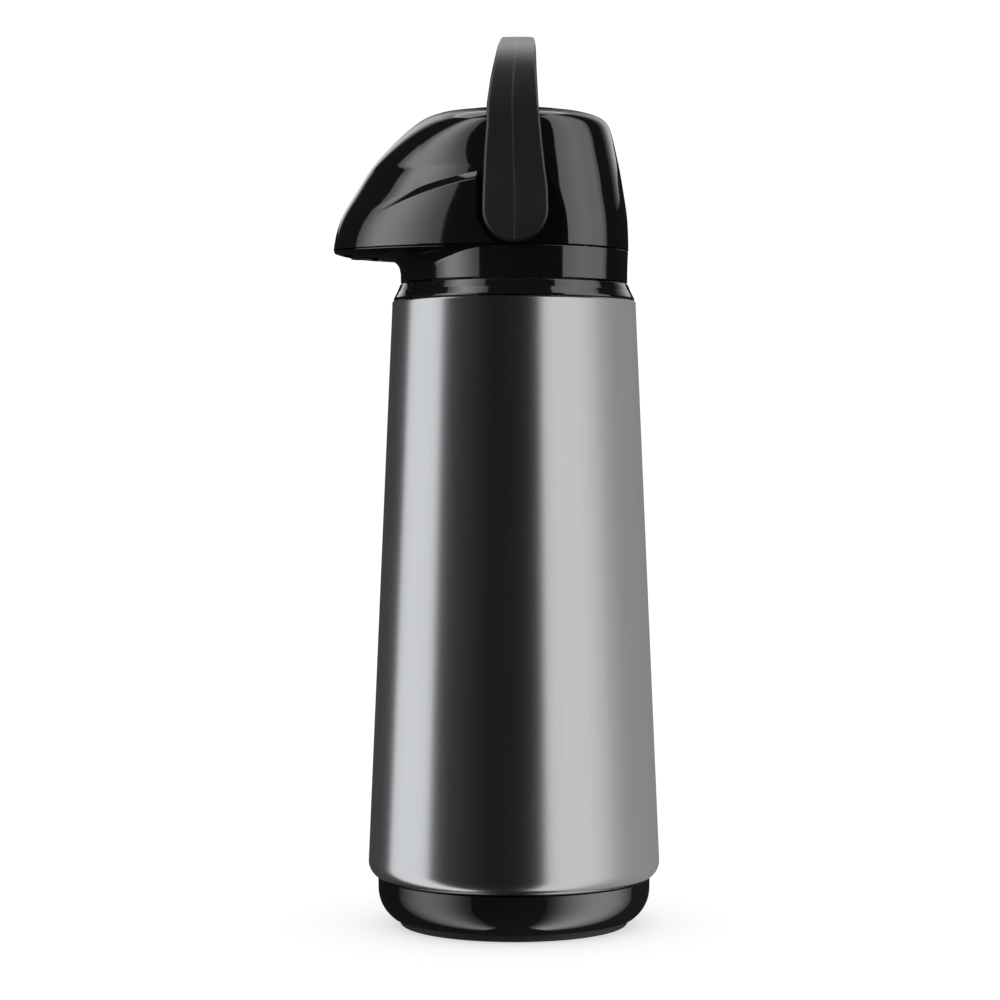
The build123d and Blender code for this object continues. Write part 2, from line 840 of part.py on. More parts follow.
with BuildPart() as pivot_screws:
    for radius, start, length in (
        (screw_head_r, pin_y_end - washer_t - screw_head, screw_head),
        (screw_r, pin_y_end - washer_t, washer_t + 5.5),
    ):
        with BuildSketch(Plane.XZ.offset(start)) as pivot_screw:
            with Locations((0, pivot_z)):
                Circle(radius)
        extrude(pivot_screw.sketch, amount=length)
    mirror(about=Plane.XZ)
pivot_screws.part.label = "pivot_screws"
export_step(pivot_screws.part, "parts/pivot_screws.step")

# ---------------------------------------------------------------- screws along the axis

with BuildPart() as cover_screws:
    screws(cover_screw_places, floor_z, 12.0, up=True)
cover_screws.part.label = "cover_screws"
export_step(cover_screws.part, "parts/cover_screws.step")

with BuildPart() as stopper_screws:
    screws(stopper_screw_places, split_z, 11.0, up=False)
stopper_screws.part.label = "stopper_screws"
export_step(stopper_screws.part, "parts/stopper_screws.step")

with BuildPart() as deck_screws:
    screws(deck_screw_places, deck_z_top, 11.0, up=False)
deck_screws.part.label = "deck_screws"
export_step(deck_screws.part, "parts/deck_screws.step")
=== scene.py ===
"""A thermal coffee airpot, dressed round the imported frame.

Shapes are worked out in millimetres in the frame's own axes: +Z up, the spout along -X, and the viewing
side is -Y. They become metres when a mesh is made. Azimuths of lights are in degrees from -Y towards +X.
"""

import json
import math

import bmesh
import bpy
import numpy as np
from mathutils import Matrix, Vector

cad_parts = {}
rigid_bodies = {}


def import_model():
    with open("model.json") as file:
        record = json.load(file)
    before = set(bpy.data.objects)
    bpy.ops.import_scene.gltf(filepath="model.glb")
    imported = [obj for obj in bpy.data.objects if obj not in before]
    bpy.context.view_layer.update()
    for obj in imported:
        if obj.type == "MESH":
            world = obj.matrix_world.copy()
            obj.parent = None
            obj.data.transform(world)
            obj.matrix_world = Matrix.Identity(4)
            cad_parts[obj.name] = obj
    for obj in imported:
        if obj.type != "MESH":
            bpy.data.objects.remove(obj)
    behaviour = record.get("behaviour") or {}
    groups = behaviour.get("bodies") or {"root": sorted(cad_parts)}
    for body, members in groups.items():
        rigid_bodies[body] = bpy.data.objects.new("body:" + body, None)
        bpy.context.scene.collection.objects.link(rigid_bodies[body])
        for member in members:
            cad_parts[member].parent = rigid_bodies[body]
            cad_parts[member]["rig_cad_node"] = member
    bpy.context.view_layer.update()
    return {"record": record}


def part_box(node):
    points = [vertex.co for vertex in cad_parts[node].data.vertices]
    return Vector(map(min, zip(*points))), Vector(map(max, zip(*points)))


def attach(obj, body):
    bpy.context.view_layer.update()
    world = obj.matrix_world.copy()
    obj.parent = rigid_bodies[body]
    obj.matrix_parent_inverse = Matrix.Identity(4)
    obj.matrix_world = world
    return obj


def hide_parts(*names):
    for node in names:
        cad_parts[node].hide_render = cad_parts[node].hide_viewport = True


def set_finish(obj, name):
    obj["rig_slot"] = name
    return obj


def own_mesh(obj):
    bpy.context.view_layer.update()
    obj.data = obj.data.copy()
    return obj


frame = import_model()
MM = 0.001
MERGE_DISTANCE = 0.002 * MM
SHARP_ANGLE = 38.0  # edges that bend more than this stay sharp


def span(node, axis):
    """Lowest and highest place of a CAD node along an axis, in millimetres."""
    low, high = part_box(node)
    return low[axis] / MM, high[axis] / MM


# ---------------------------------------------------------------- sizes

FOOT_TOP = span("foot_ring", 2)[1]
FOOT_R = span("foot_ring", 0)[1]
CUP_R = span("base_cup", 0)[1]
CUP_LOW, SPIGOT_TOP = span("base_cup", 2)
CUP_CORNER_R, CUP_CORNER_Z = 14.8, 15.2
CUP_SHOULDER_Z = 19.8  # the ledge under the shell's curl
CUP_FLOOR_Z = 5.4
SPIGOT_R_IN, SPIGOT_R_OUT = 48.5, 51.0
PEDESTAL_R_IN, PEDESTAL_R_OUT, PEDESTAL_Z = 11.0, 33.0, 14.0
SHELL_TOP = span("outer_shell", 2)[1]
SHELL_WALL = 0.6
CURL_R = 7.0  # lower end of the shell, curled in
CURL_CENTRE = (53.4, 26.4)
CURL_FROM, CURL_TO = -64.2, 4.1
TAPER_TOP = (50.4, 257.0)
LIP_TOP = span("neck_ring", 2)[1]
SPLIT_Z = 278.5  # plane between head base and hood
GROOVE = 0.4
COLLAR_LOW = 265.6
COLLAR_R_LOW, COLLAR_R_TOP = 46.9, 47.25
PLATE = 2.2
PIVOT_Z = 292.5
# Front half of the head's outline: a blunt nose on tapered sides, rounding to an ellipse higher up
NOSE_POWER = 4.0
SIDE_TAPER = 22.4  # taken off each side at the very front
TAPER_POWER = 1.7
ROUND_LOW, ROUND_TOP = 311.0, 331.2
# Towards the spout, the ledge on each side dies out between these distances
LEDGE_FADE_START, LEDGE_FADE_END = 38.0, 56.0
LEDGE_SOFTNESS = 10.0
VISOR_REACH = 74.5
VISOR_HALF_WIDTH = 47.3
NOZZLE_X = -62.0
# The hood: height, reach of the front, radius of the back
HOOD = np.array(
    [
        (SPLIT_Z + GROOVE, VISOR_REACH, 47.4),
        (286.0, 73.2, 47.25),
        (294.0, 70.1, 46.7),
        (302.0, 65.3, 45.5),
        (311.0, 59.7, 44.0),
        (320.0, 52.1, 42.1),
        (328.0, 44.0, 40.1),
        (331.2, 40.2, 38.6),
        (333.5, 36.2, 35.6),
        (335.0, 32.0, 30.9),
    ]
)
POCKET_Y = 42.6
POCKET_R = 15.0
PIN_R, PIN_HOLE_R = 5.0, 5.3
PAD_R = 29.15
PAD_CROWN = span("press_pad", 2)[1]
PAD_LOW = span("press_pad", 2)[0]
# The hood's sleeve, which the pad slides in, and the hollow round it
SLEEVE_R, SLEEVE_R_OUT = 29.5, 31.3
SLEEVE_LOW = 318.0
CAVITY_TOP = 330.6
ARM_IN, ARM_OUT = 44.3, 50.0
ARM_END_R = 13.4
ARCH_TOP = span("handle", 2)[1]
ARCH_UNDER = ARCH_TOP - 7.0
ARCH_R_OUT, ARCH_R_IN = 34.0, 28.0
BELLOWS_LOW, BELLOWS_TOP = span("bellows", 2)


# ---------------------------------------------------------------- mesh helpers


def grid_faces(rows, columns, wrap_rows, wrap_columns):
    """Quads of a grid of points, closed along its rows or columns where asked."""
    index = np.arange(rows * columns).reshape(rows, columns)
    if wrap_rows:
        index = np.vstack([index, index[:1]])
    if wrap_columns:
        index = np.hstack([index, index[:, :1]])
    corners = (index[:-1, :-1], index[:-1, 1:], index[1:, 1:], index[1:, :-1])
    return np.stack([corner.ravel() for corner in corners], axis=1)


def joined_mesh(name, shells):
    """One mesh of closed shells of (points, quads), in metres, with its normals facing out."""
    vertices, faces, start = [], [], 0
    for points, quads in shells:
        flat = points.reshape(-1, 3)
        vertices.append(flat)
        faces.append(quads + start)
        start += len(flat)
    mesh = bpy.data.meshes.new(name)
    mesh.from_pydata((np.concatenate(vertices) * MM).tolist(), [], np.concatenate(faces).tolist())
    work = bmesh.new()
    work.from_mesh(mesh)
    bmesh.ops.remove_doubles(work, verts=work.verts, dist=MERGE_DISTANCE)
    bmesh.ops.recalc_face_normals(work, faces=work.faces)
    work.to_mesh(mesh)
    work.free()
    return mesh


def make_piece(name, shells, body, slot, replaced, sharp=SHARP_ANGLE):
    """A smooth-shaded piece made of closed shells, riding on a body."""
    mesh = joined_mesh(name, shells)
    mesh.shade_smooth()
    mesh.set_sharp_from_angle(angle=math.radians(sharp))
    piece = bpy.data.objects.new(name, mesh)
    bpy.context.scene.collection.objects.link(piece)
    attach(piece, body)
    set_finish(piece, slot)
    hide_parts(*replaced)
    return piece


def cut_out(piece, shell):
    """Cuts a closed shell out of a piece."""
    cutter = bpy.data.objects.new("cutter", joined_mesh("cutter", [shell]))
    bpy.context.scene.collection.objects.link(cutter)
    boolean = piece.modifiers.new("cut", "BOOLEAN")
    boolean.operation = "DIFFERENCE"
    boolean.solver = "EXACT"
    boolean.object = cutter
    bpy.context.view_layer.update()
    graph = bpy.context.evaluated_depsgraph_get()
    cut = bpy.data.meshes.new_from_object(piece.evaluated_get(graph))
    piece.modifiers.clear()
    piece.data = cut
    cut.set_sharp_from_angle(angle=math.radians(SHARP_ANGLE))
    bpy.data.objects.remove(cutter)


def rounded(corners, segments=6):
    """An outline from (x, y, radius) corners, each rounded and with a supporting point on either side."""
    outline = []
    count = len(corners)
    for i, (x, y, radius) in enumerate(corners):
        here = np.array((x, y))
        if radius == 0:
            outline.append(here)
            continue
        before = np.array(corners[i - 1][:2]) - here
        after = np.array(corners[(i + 1) % count][:2]) - here
        before_length, after_length = np.linalg.norm(before), np.linalg.norm(after)
        before, after = before / before_length, after / after_length
        half = math.acos(np.clip(before @ after, -1, 1)) / 2
        cut = min(radius / math.tan(half), 0.42 * before_length, 0.42 * after_length)
        arc_r = cut * math.tan(half)
        middle = (before + after) / np.linalg.norm(before + after)
        centre = here + middle * arc_r / math.sin(half)
        start = here + before * cut - centre
        end = here + after * cut - centre
        outline.append(here + before * min(1.7 * cut, 0.48 * before_length))
        for step in range(segments + 1):
            spoke = start + (end - start) * step / segments
            outline.append(centre + spoke / np.linalg.norm(spoke) * arc_r)
        outline.append(here + after * min(1.7 * cut, 0.48 * after_length))
    return outline


def lathe(outline, steps=256):
    """A closed (radius, height) outline turned about the Z axis."""
    turn = np.linspace(0, 2 * math.pi, steps, endpoint=False)
    radius, height = np.array(outline).T
    points = np.stack(
        [
            np.outer(radius, np.cos(turn)),
            np.outer(radius, np.sin(turn)),
            np.repeat(height[:, None], steps, axis=1),
        ],
        axis=-1,
    )
    return points, grid_faces(len(outline), steps, True, True)


def along_y(shell, x, z, side=1):
    """Turns a lathed shell so that its axis runs along Y through (x, z), outwards on that side."""
    points, quads = shell
    turned = np.stack(
        [x + points[..., 0], side * points[..., 2], z + points[..., 1]], axis=-1
    )
    return turned, quads


def arc(centre, radius, start, end, segments):
    """Points of an arc between two angles in degrees."""
    turns = np.radians(np.linspace(start, end, segments + 1))
    return [
        (centre[0] + radius * math.cos(turn), centre[1] + radius * math.sin(turn)) for turn in turns
    ]


def natural_spline(x, y, at):
    """A natural cubic spline through (x, y), read at the given places."""
    gap = np.diff(x)
    count = len(x)
    matrix = np.eye(count)
    right = np.zeros(count)
    for i in range(1, count - 1):
        matrix[i, i - 1 : i + 2] = gap[i - 1], 2 * (gap[i - 1] + gap[i]), gap[i]
        right[i] = 6 * ((y[i + 1] - y[i]) / gap[i] - (y[i] - y[i - 1]) / gap[i - 1])
    bend = np.linalg.solve(matrix, right)
    i = np.clip(np.searchsorted(x, at) - 1, 0, count - 2)
    ahead, behind = x[i + 1] - at, at - x[i]
    cubic = (bend[i] * ahead**3 + bend[i + 1] * behind**3) / (6 * gap[i])
    line_a = (y[i] / gap[i] - bend[i] * gap[i] / 6) * ahead
    line_b = (y[i + 1] / gap[i] - bend[i + 1] * gap[i] / 6) * behind
    return cubic + line_a + line_b


# ---------------------------------------------------------------- vessel


def shell_piece():
    """The tapered steel tube, 0.6 mm thick, curled in at its lower end and folded over at the top."""
    outside = arc(CURL_CENTRE, CURL_R, CURL_FROM, CURL_TO, 14)
    inside = arc(CURL_CENTRE, CURL_R - SHELL_WALL, CURL_TO, CURL_FROM, 14)
    foot = np.array(outside[-1])
    top = np.array(TAPER_TOP)
    taper = [tuple(foot + (top - foot) * share) for share in (0.003, 0.25, 0.5, 0.75, 0.997)]
    fold = arc((TAPER_TOP[0] - 1.3, SHELL_TOP - 1.4), 1.4, 0, 90, 6)
    back = [(TAPER_TOP[0] - 1.9, SHELL_TOP - 0.1), (TAPER_TOP[0] - 1.9, SHELL_TOP - 0.6)]
    lining = [(TAPER_TOP[0] - 0.9, TAPER_TOP[1] - 1.2), (inside[0][0], inside[0][1] + 0.5)]
    outline = outside + taper + fold + back + lining + inside
    return make_piece("tapered_shell", [lathe(outline)], "vessel", "shell_steel", ["outer_shell"])


def cup_piece():
    """The plastic cup under the shell, with a wide rounded lower corner."""
    corner_x = CUP_R - CUP_CORNER_R - 0.05
    seat = FOOT_TOP + 0.02
    sink = math.degrees(math.asin((CUP_CORNER_Z - seat) / CUP_CORNER_R))
    outline = [
        (FOOT_R + 0.1, seat),
        *arc((corner_x, CUP_CORNER_Z), CUP_CORNER_R, -sink + 2, 0, 14),
        (CUP_R, CUP_SHOULDER_Z - 1.2),
        *arc((CUP_R - 0.6, CUP_SHOULDER_Z - 0.6), 0.6, 0, 90, 5),
        (SPIGOT_R_OUT + 1.0, CUP_SHOULDER_Z),
        (SPIGOT_R_OUT, CUP_SHOULDER_Z + 0.4),
        (SPIGOT_R_OUT, SPIGOT_TOP - 0.4),
        (SPIGOT_R_OUT - 0.4, SPIGOT_TOP),
        (SPIGOT_R_IN + 0.4, SPIGOT_TOP),
        (SPIGOT_R_IN, SPIGOT_TOP - 0.4),
        (SPIGOT_R_IN, 14.0),
        (44.0, 6.5),
        (40.0, CUP_FLOOR_Z),
        (PEDESTAL_R_OUT, CUP_FLOOR_Z),
        (PEDESTAL_R_OUT, PEDESTAL_Z),
        (PEDESTAL_R_IN, PEDESTAL_Z),
        (PEDESTAL_R_IN, 4.0),
        (0.0, 4.0),
        (0.0, CUP_LOW),
        (39.6, CUP_LOW),
        (39.9, CUP_LOW + 0.3),
        (39.9, seat),
    ]
    return make_piece("bottom_cup", [lathe(outline)], "vessel", "black_gloss", ["base_cup"])


def foot_piece():
    """The anti-slip ring, with two shallow grooves in its underside."""
    inner = span("foot_ring", 0)[1] - 7.3
    outline = rounded(
        [
            (inner, 0, 0.5),
            (inner + 2.2, 0, 0.2),
            (inner + 2.4, 0.5, 0.15),
            (inner + 3.0, 0.5, 0.15),
            (inner + 3.2, 0, 0.2),
            (inner + 4.4, 0, 0.2),
            (inner + 4.6, 0.5, 0.15),
            (inner + 5.2, 0.5, 0.15),
            (inner + 5.4, 0, 0.2),
            (FOOT_R, 0, 0.9),
            (FOOT_R, FOOT_TOP, 0.3),
            (inner, FOOT_TOP, 0.3),
        ],
        segments=4,
    )
    return make_piece("anti_slip_ring", [lathe(outline)], "vessel", "black_rubber", ["foot_ring"])


def neck_piece():
    """The black funnel ring at the shell's mouth: a flared lip outside, a bore and a funnel inside."""
    outline = rounded(
        [
            (49.9, 258.45, 0.25),
            (49.75, 259.3, 0.8),
            (48.35, 262.0, 3.0),
            (47.1, LIP_TOP, 0.35),
            (41.5, LIP_TOP, 0.6),
            (40.0, LIP_TOP - 1.5, 0.8),
            (40.0, 253.0, 1.5),
            (38.0, 250.8, 1.0),
            (23.2, 250.0, 0.4),
            (23.2, 248.0, 0.3),
            (38.5, 248.6, 1.0),
            (42.0, 252.0, 1.5),
            (42.0, 262.5, 0.5),
            (46.6, 262.5, 0.5),
            (46.6, 244.0, 0.4),
            (48.55, 244.0, 0.4),
            (48.55, 258.45, 0.3),
        ]
    )
    return make_piece("neck_funnel", [lathe(outline)], "vessel", "black_gloss", ["neck_ring"])


# ---------------------------------------------------------------- hood

SPLINE_ALONG = np.concatenate([[0], np.cumsum(np.hypot(np.diff(HOOD[:, 0]), np.diff(HOOD[:, 1])))])
CURVE_ALONG = np.linspace(0, SPLINE_ALONG[-1], 800)
CURVE_Z, CURVE_REACH, CURVE_BACK = (
    natural_spline(SPLINE_ALONG, HOOD[:, k], CURVE_ALONG) for k in range(3)
)
# Columns of half a ring, from nose to tail
FRONT_COLUMNS = np.linspace(0, 1, 90)
# Across the pocket's front wall: offset from the wall, and how far the side has sunk to the floor
WALL_OFFSETS = np.array([-0.7, -0.35, -0.15, -0.05, 0.0, 0.03, 0.08, 0.2, 0.45, 1.0])
WALL_SUNK = np.array([0, 0, 0.04, 0.15, 0.35, 0.65, 0.88, 0.98, 1, 1])
WALL_LEAD = 1.2
POCKET_COLUMNS = np.linspace(0, 1, 76)[1:]
POCKET_END_X = 24.0
TAIL_COLUMNS = np.linspace(0, 1, 40)[1:]
COUNTS = np.cumsum([len(FRONT_COLUMNS), len(WALL_OFFSETS), len(POCKET_COLUMNS), len(TAIL_COLUMNS)])
FRONT = slice(0, COUNTS[0])
WALL = slice(COUNTS[0], COUNTS[1])
POCKET = slice(COUNTS[1], COUNTS[2])
TAIL = slice(COUNTS[2], COUNTS[3])


def ledge(forward):
    """Lower and upper edge of the ledge along the hood's side, at a distance towards the spout."""
    forward = np.clip(forward, POCKET_R, VISOR_REACH)
    low = 306.2 - 0.03 * forward - 0.0040 * forward**2
    high = 309.2 - 0.02 * forward - 0.0042 * forward**2
    return low, high


def outline_shape(z):
    """Exponent and side taper of the head's front at a height."""
    blend = np.clip((ROUND_TOP - z) / (ROUND_TOP - ROUND_LOW), 0, 1)
    return 2 + (NOSE_POWER - 2) * blend, SIDE_TAPER * blend


def front_side(forward, reach, half_width, z):
    """Half-width of the head's front at a distance towards the spout."""
    share = np.clip(forward / reach, 0, 1)
    power, taper = outline_shape(z)
    return (half_width - taper * share**TAPER_POWER) * (1 - share**power) ** (1 / power)


def softer_min(a, b, sharpness=6.0):
    """The smaller of two lengths, with a small radius where they meet."""
    return -np.logaddexp(-sharpness * a, -sharpness * b) / sharpness


def hood_half(z, inset=0.0):
    """Half a ring of the hood, from nose to tail, at a height for each column."""
    reach = np.interp(z, CURVE_Z, CURVE_REACH) - inset
    back = np.interp(z, CURVE_Z, CURVE_BACK) - inset
    drop = np.clip(PIVOT_Z - z, 0, None)
    wall = -np.sqrt(np.maximum((POCKET_R + inset) ** 2 - drop**2, 9.0))
    floor = POCKET_Y - inset
    x, y = np.zeros_like(z), np.zeros_like(z)

    # front: even polar angles up to just before the pocket's wall
    last = (WALL_LEAD - wall[FRONT]) / reach[FRONT]
    power = outline_shape(z[FRONT])[0]
    last_angle = np.arctan2((1 - last**power) ** (1 / power), last)
    angle = FRONT_COLUMNS * last_angle
    polar = (np.cos(angle) ** power + np.sin(angle) ** power) ** (-1 / power)
    x[FRONT] = -np.cos(angle) * polar * reach[FRONT]
    x[WALL] = wall[WALL] + WALL_OFFSETS
    start = wall[POCKET] + WALL_OFFSETS[-1]
    x[POCKET] = start + (POCKET_END_X - start) * POCKET_COLUMNS
    tail_angle = np.arccos(POCKET_END_X / back[TAIL]) * (1 - TAIL_COLUMNS)
    x[TAIL] = back[TAIL] * np.cos(tail_angle)

    low, high = ledge(-x)
    share = np.clip((high - z) / (high - low), 0, 1)
    fade = np.clip((LEDGE_FADE_END + x) / (LEDGE_FADE_END - LEDGE_FADE_START), 0, 1)
    share = np.maximum(share, (1 - fade) * np.exp(-np.clip(z - high, 0, None) / LEDGE_SOFTNESS))
    half_width = back + share * (VISOR_HALF_WIDTH - inset - back)
    round_side = np.sqrt(np.maximum(back**2 - x**2, 0))
    side = np.where(x < 0, front_side(-x, reach, half_width, z), round_side)
    y[FRONT] = side[FRONT]
    y[WALL] = side[WALL] + WALL_SUNK * (np.minimum(side[WALL], floor) - side[WALL])
    y[POCKET] = softer_min(side[POCKET], floor)
    y[TAIL] = softer_min(side[TAIL], floor)
    y[-1] = 0.0
    return np.stack([x, -y, z], axis=1)


def whole_ring(half):
    """Adds the mirrored half."""
    mirrored = half[-2:0:-1] * np.array((1, -1, 1))
    return np.concatenate([half, mirrored])


def hood_row(height_of, inset=0.0):
    """A ring whose height depends on how far towards the spout each column lies."""
    z = np.full(COUNTS[-1], 300.0)
    for _ in range(14):
        half = hood_half(z, inset)
        z = height_of(-half[:, 0])
    half = hood_half(z, inset)
    return whole_ring(half)


def level(height):
    """The same height in every column."""
    return lambda forward: np.full_like(forward, height)


def hood_piece():
    """The glossy hood: side ledges that fade towards the nose, handle pockets, and the pad's opening."""
    bottom = SPLIT_Z + GROOVE
    rows = [hood_row(level(bottom), inset) for inset in (PLATE, 0.35)]
    rows.append(hood_row(level(bottom + 0.1), 0.1))
    for share in (*np.linspace(0.012, 0.96, 30), 0.985, 0.996, 1.0):
        rows.append(hood_row(lambda forward: bottom + share * (ledge(forward)[0] - bottom)))
    for share in (0.06, 0.25, 0.5, 0.75, 0.94, 1.0):
        rows.append(
            hood_row(lambda forward: ledge(forward)[0] * (1 - share) + ledge(forward)[1] * share)
        )
    for share in (0.004, 0.015, *np.linspace(0.04, 1, 52)):

        def height_of(forward):
            start = np.interp(ledge(forward)[1], CURVE_Z, CURVE_ALONG)
            along = start + share * (CURVE_ALONG[-1] - start)
            return np.interp(along, CURVE_ALONG, CURVE_Z)

        rows.append(hood_row(height_of))
    spokes = rows[-1][:, :2] / np.linalg.norm(rows[-1][:, :2], axis=1)[:, None]
    top = HOOD[-1, 0]
    sleeve = [
        (29.95, top + 0.06),
        (29.7, top + 0.03),
        (29.56, top - 0.1),
        (SLEEVE_R, top - 0.4),
        (SLEEVE_R, 330.0),
        (SLEEVE_R, SLEEVE_LOW + 0.2),
        (SLEEVE_R + 0.2, SLEEVE_LOW),
        (SLEEVE_R_OUT - 0.2, SLEEVE_LOW),
        (SLEEVE_R_OUT, SLEEVE_LOW + 0.2),
        (SLEEVE_R_OUT, CAVITY_TOP),
    ]
    for radius, height in sleeve:
        heights = np.full((len(spokes), 1), height)
        rows.append(np.hstack([spokes * radius, heights]))
    for height in (CAVITY_TOP, 326.0, 320.0, 312.0, 305.0, 298.0, 290.0, 283.0):
        rows.append(hood_row(level(height), PLATE))
    points = np.array(rows)
    shell = (points, grid_faces(points.shape[0], points.shape[1], True, True))
    hood = make_piece("pump_hood", [shell], "head", "black_gloss", ["head_cover"])
    end = POCKET_Y + 3
    hole = lathe([(0, -end), (PIN_HOLE_R, -end), (PIN_HOLE_R, end), (0, end)], 64)
    cut_out(hood, along_y(hole, 0, PIVOT_Z))
    return hood


# ---------------------------------------------------------------- head base


def collar_shell():
    """Collar, floor disc and the ring that carries the pump deck."""
    floor_z = SPLIT_Z - PLATE
    return lathe(
        rounded(
            [
                (COLLAR_R_LOW, COLLAR_LOW, 0.35),
                (COLLAR_R_LOW + 0.08, 272.0, 0),
                (COLLAR_R_TOP, SPLIT_Z, 0.25),
                (32.0, SPLIT_Z, 0),
                (32.0, 290.9, 0.2),
                (30.0, 290.9, 0.2),
                (30.0, SPLIT_Z, 0),
                (4.5, SPLIT_Z, 0.2),
                (4.5, floor_z, 0.2),
                (COLLAR_R_TOP - PLATE, floor_z, 0.5),
                (COLLAR_R_LOW - PLATE, COLLAR_LOW, 0.35),
            ]
        )
    )


def visor_shell():
    """The spout's underside: it curves up to the hood's edge and runs down into the collar in a fillet."""
    turns = np.radians(np.linspace(0, 180, 241))
    across = np.cos(turns)
    scale = (np.sin(turns) ** NOSE_POWER + np.abs(across) ** NOSE_POWER) ** (-1 / NOSE_POWER)
    ahead = np.sin(turns) * scale
    rim_x = (VISOR_REACH - 0.2) * ahead
    rim_y = (VISOR_HALF_WIDTH - 0.1 - SIDE_TAPER * ahead**TAPER_POWER) * across * scale
    rim = np.hypot(rim_x, rim_y)
    angles = np.arctan2(rim_y, rim_x)
    rim_z = SPLIT_Z - 0.35
    wall = COLLAR_R_TOP - 0.25
    depth = np.maximum(rim - wall, 0.01)
    fillet = np.minimum(5.5, 0.8 * depth)
    rows = [(rim - 0.3, np.full_like(rim, SPLIT_Z)), (rim, np.full_like(rim, SPLIT_Z - 0.12))]
    rows.append((rim, np.full_like(rim, rim_z)))
    for share in (*np.linspace(0.01, 0.7, 18), *np.linspace(0.72, 1, 18)):
        inward = share * depth
        left = depth - inward
        sag = 3.05 * (1 - np.exp(-inward / 8.5))
        run_out = fillet - np.sqrt(np.maximum(fillet**2 - np.clip(fillet - left, 0, None) ** 2, 0))
        rows.append((rim - inward, rim_z - sag - run_out))
    rows.append((np.full_like(rim, wall - 1.2), rows[-1][1]))
    rows.append((np.full_like(rim, wall - 1.2), np.full_like(rim, SPLIT_Z - 0.06)))
    rows.append((rim - 1.0, np.full_like(rim, SPLIT_Z - 0.02)))
    points = np.array(
        [
            np.stack([-radius * np.cos(angles), radius * np.sin(angles), height], axis=1)
            for radius, height in rows
        ]
    )
    quads = grid_faces(points.shape[0], points.shape[1], True, False)
    columns = points.shape[1]
    caps = []
    for column in (0, columns - 1):
        ring = [row * columns + column for row in range(points.shape[0])]
        half = len(ring) // 2
        for i in range(half - 1):
            caps.append((ring[i], ring[i + 1], ring[-2 - i], ring[-1 - i]))
    return points, np.vstack([quads, np.array(caps)])


def slot_shell():
    """The cutter for the nozzle opening: a rounded rectangle, straight through."""
    half_x, half_y, corner = 8.25, 12.0, 5.0
    outline = []
    for centre_x, centre_y, start in (
        (half_x - corner, half_y - corner, 0),
        (corner - half_x, half_y - corner, 90),
        (corner - half_x, corner - half_y, 180),
        (half_x - corner, corner - half_y, 270),
    ):
        outline += arc((centre_x, centre_y), corner, start, start + 90, 10)
    outline = np.array(outline)
    rows = []
    for height, scale in ((270.0, 0), (270.0, 1.0), (282.0, 1.0), (282.0, 0)):
        flat = outline * scale + np.array((NOZZLE_X, 0))
        rows.append(np.hstack([flat, np.full((len(flat), 1), height)]))
    points = np.array(rows)
    return points, grid_faces(points.shape[0], points.shape[1], False, True)


def ear_shell(side):
    """A bracket inside the hood with the bore that a handle pin turns in."""
    turns = np.radians(np.linspace(0, 360, 96, endpoint=False))
    foot = (PIVOT_Z - SPLIT_Z) / np.maximum(-np.sin(turns), 1e-6)
    flank = 9.0 / np.maximum(np.abs(np.cos(turns)), 1e-6)
    reach = np.where(np.sin(turns) < 0, np.minimum(foot, flank), 9.0)
    rows = []
    for radius, y in ((5.05, 37.0), (reach, 37.0), (reach, 40.0), (5.05, 40.0)):
        x = radius * np.cos(turns)
        z = PIVOT_Z + radius * np.sin(turns)
        rows.append(np.stack([x, np.full_like(x, side * y), z], axis=1))
    points = np.array(rows)
    return points, grid_faces(4, len(turns), True, True)


def base_piece():
    """Collar and spout underside in one moulding, with the nozzle opening cut through."""
    shells = [collar_shell(), visor_shell(), ear_shell(1), ear_shell(-1)]
    base = make_piece("collar_and_spout", shells, "head", "black_gloss", ["head_base"])
    cut_out(base, slot_shell())
    return base


# ---------------------------------------------------------------- handle

ARM_LOW = PIVOT_Z - ARM_END_R
# Edges of the bail seen along Y: height, x of the front edge, x of the rear edge
HANDLE_EDGES = np.array(
    [
        (PIVOT_Z, -12.9, 13.4),
        (301.0, -12.7, 13.2),
        (309.0, -12.4, 12.1),
        (317.0, -12.0, 11.2),
        (326.0, -11.3, 10.3),
        (334.6, -11.1, 9.5),
        (345.0, -9.7, 9.0),
        (351.0, -8.6, 8.8),
        (356.0, -7.6, 8.7),
        (360.0, -6.8, 8.6),
        (362.5, -6.0, 8.4),
        (ARCH_TOP, -5.4, 8.2),
    ]
)
HANDLE_EDGE_R = 1.25
FACE_CROWN = 0.08  # the outer face bulges by this much
PARTING_HALF_WIDTH = 0.13
PARTING_RISE = 0.10


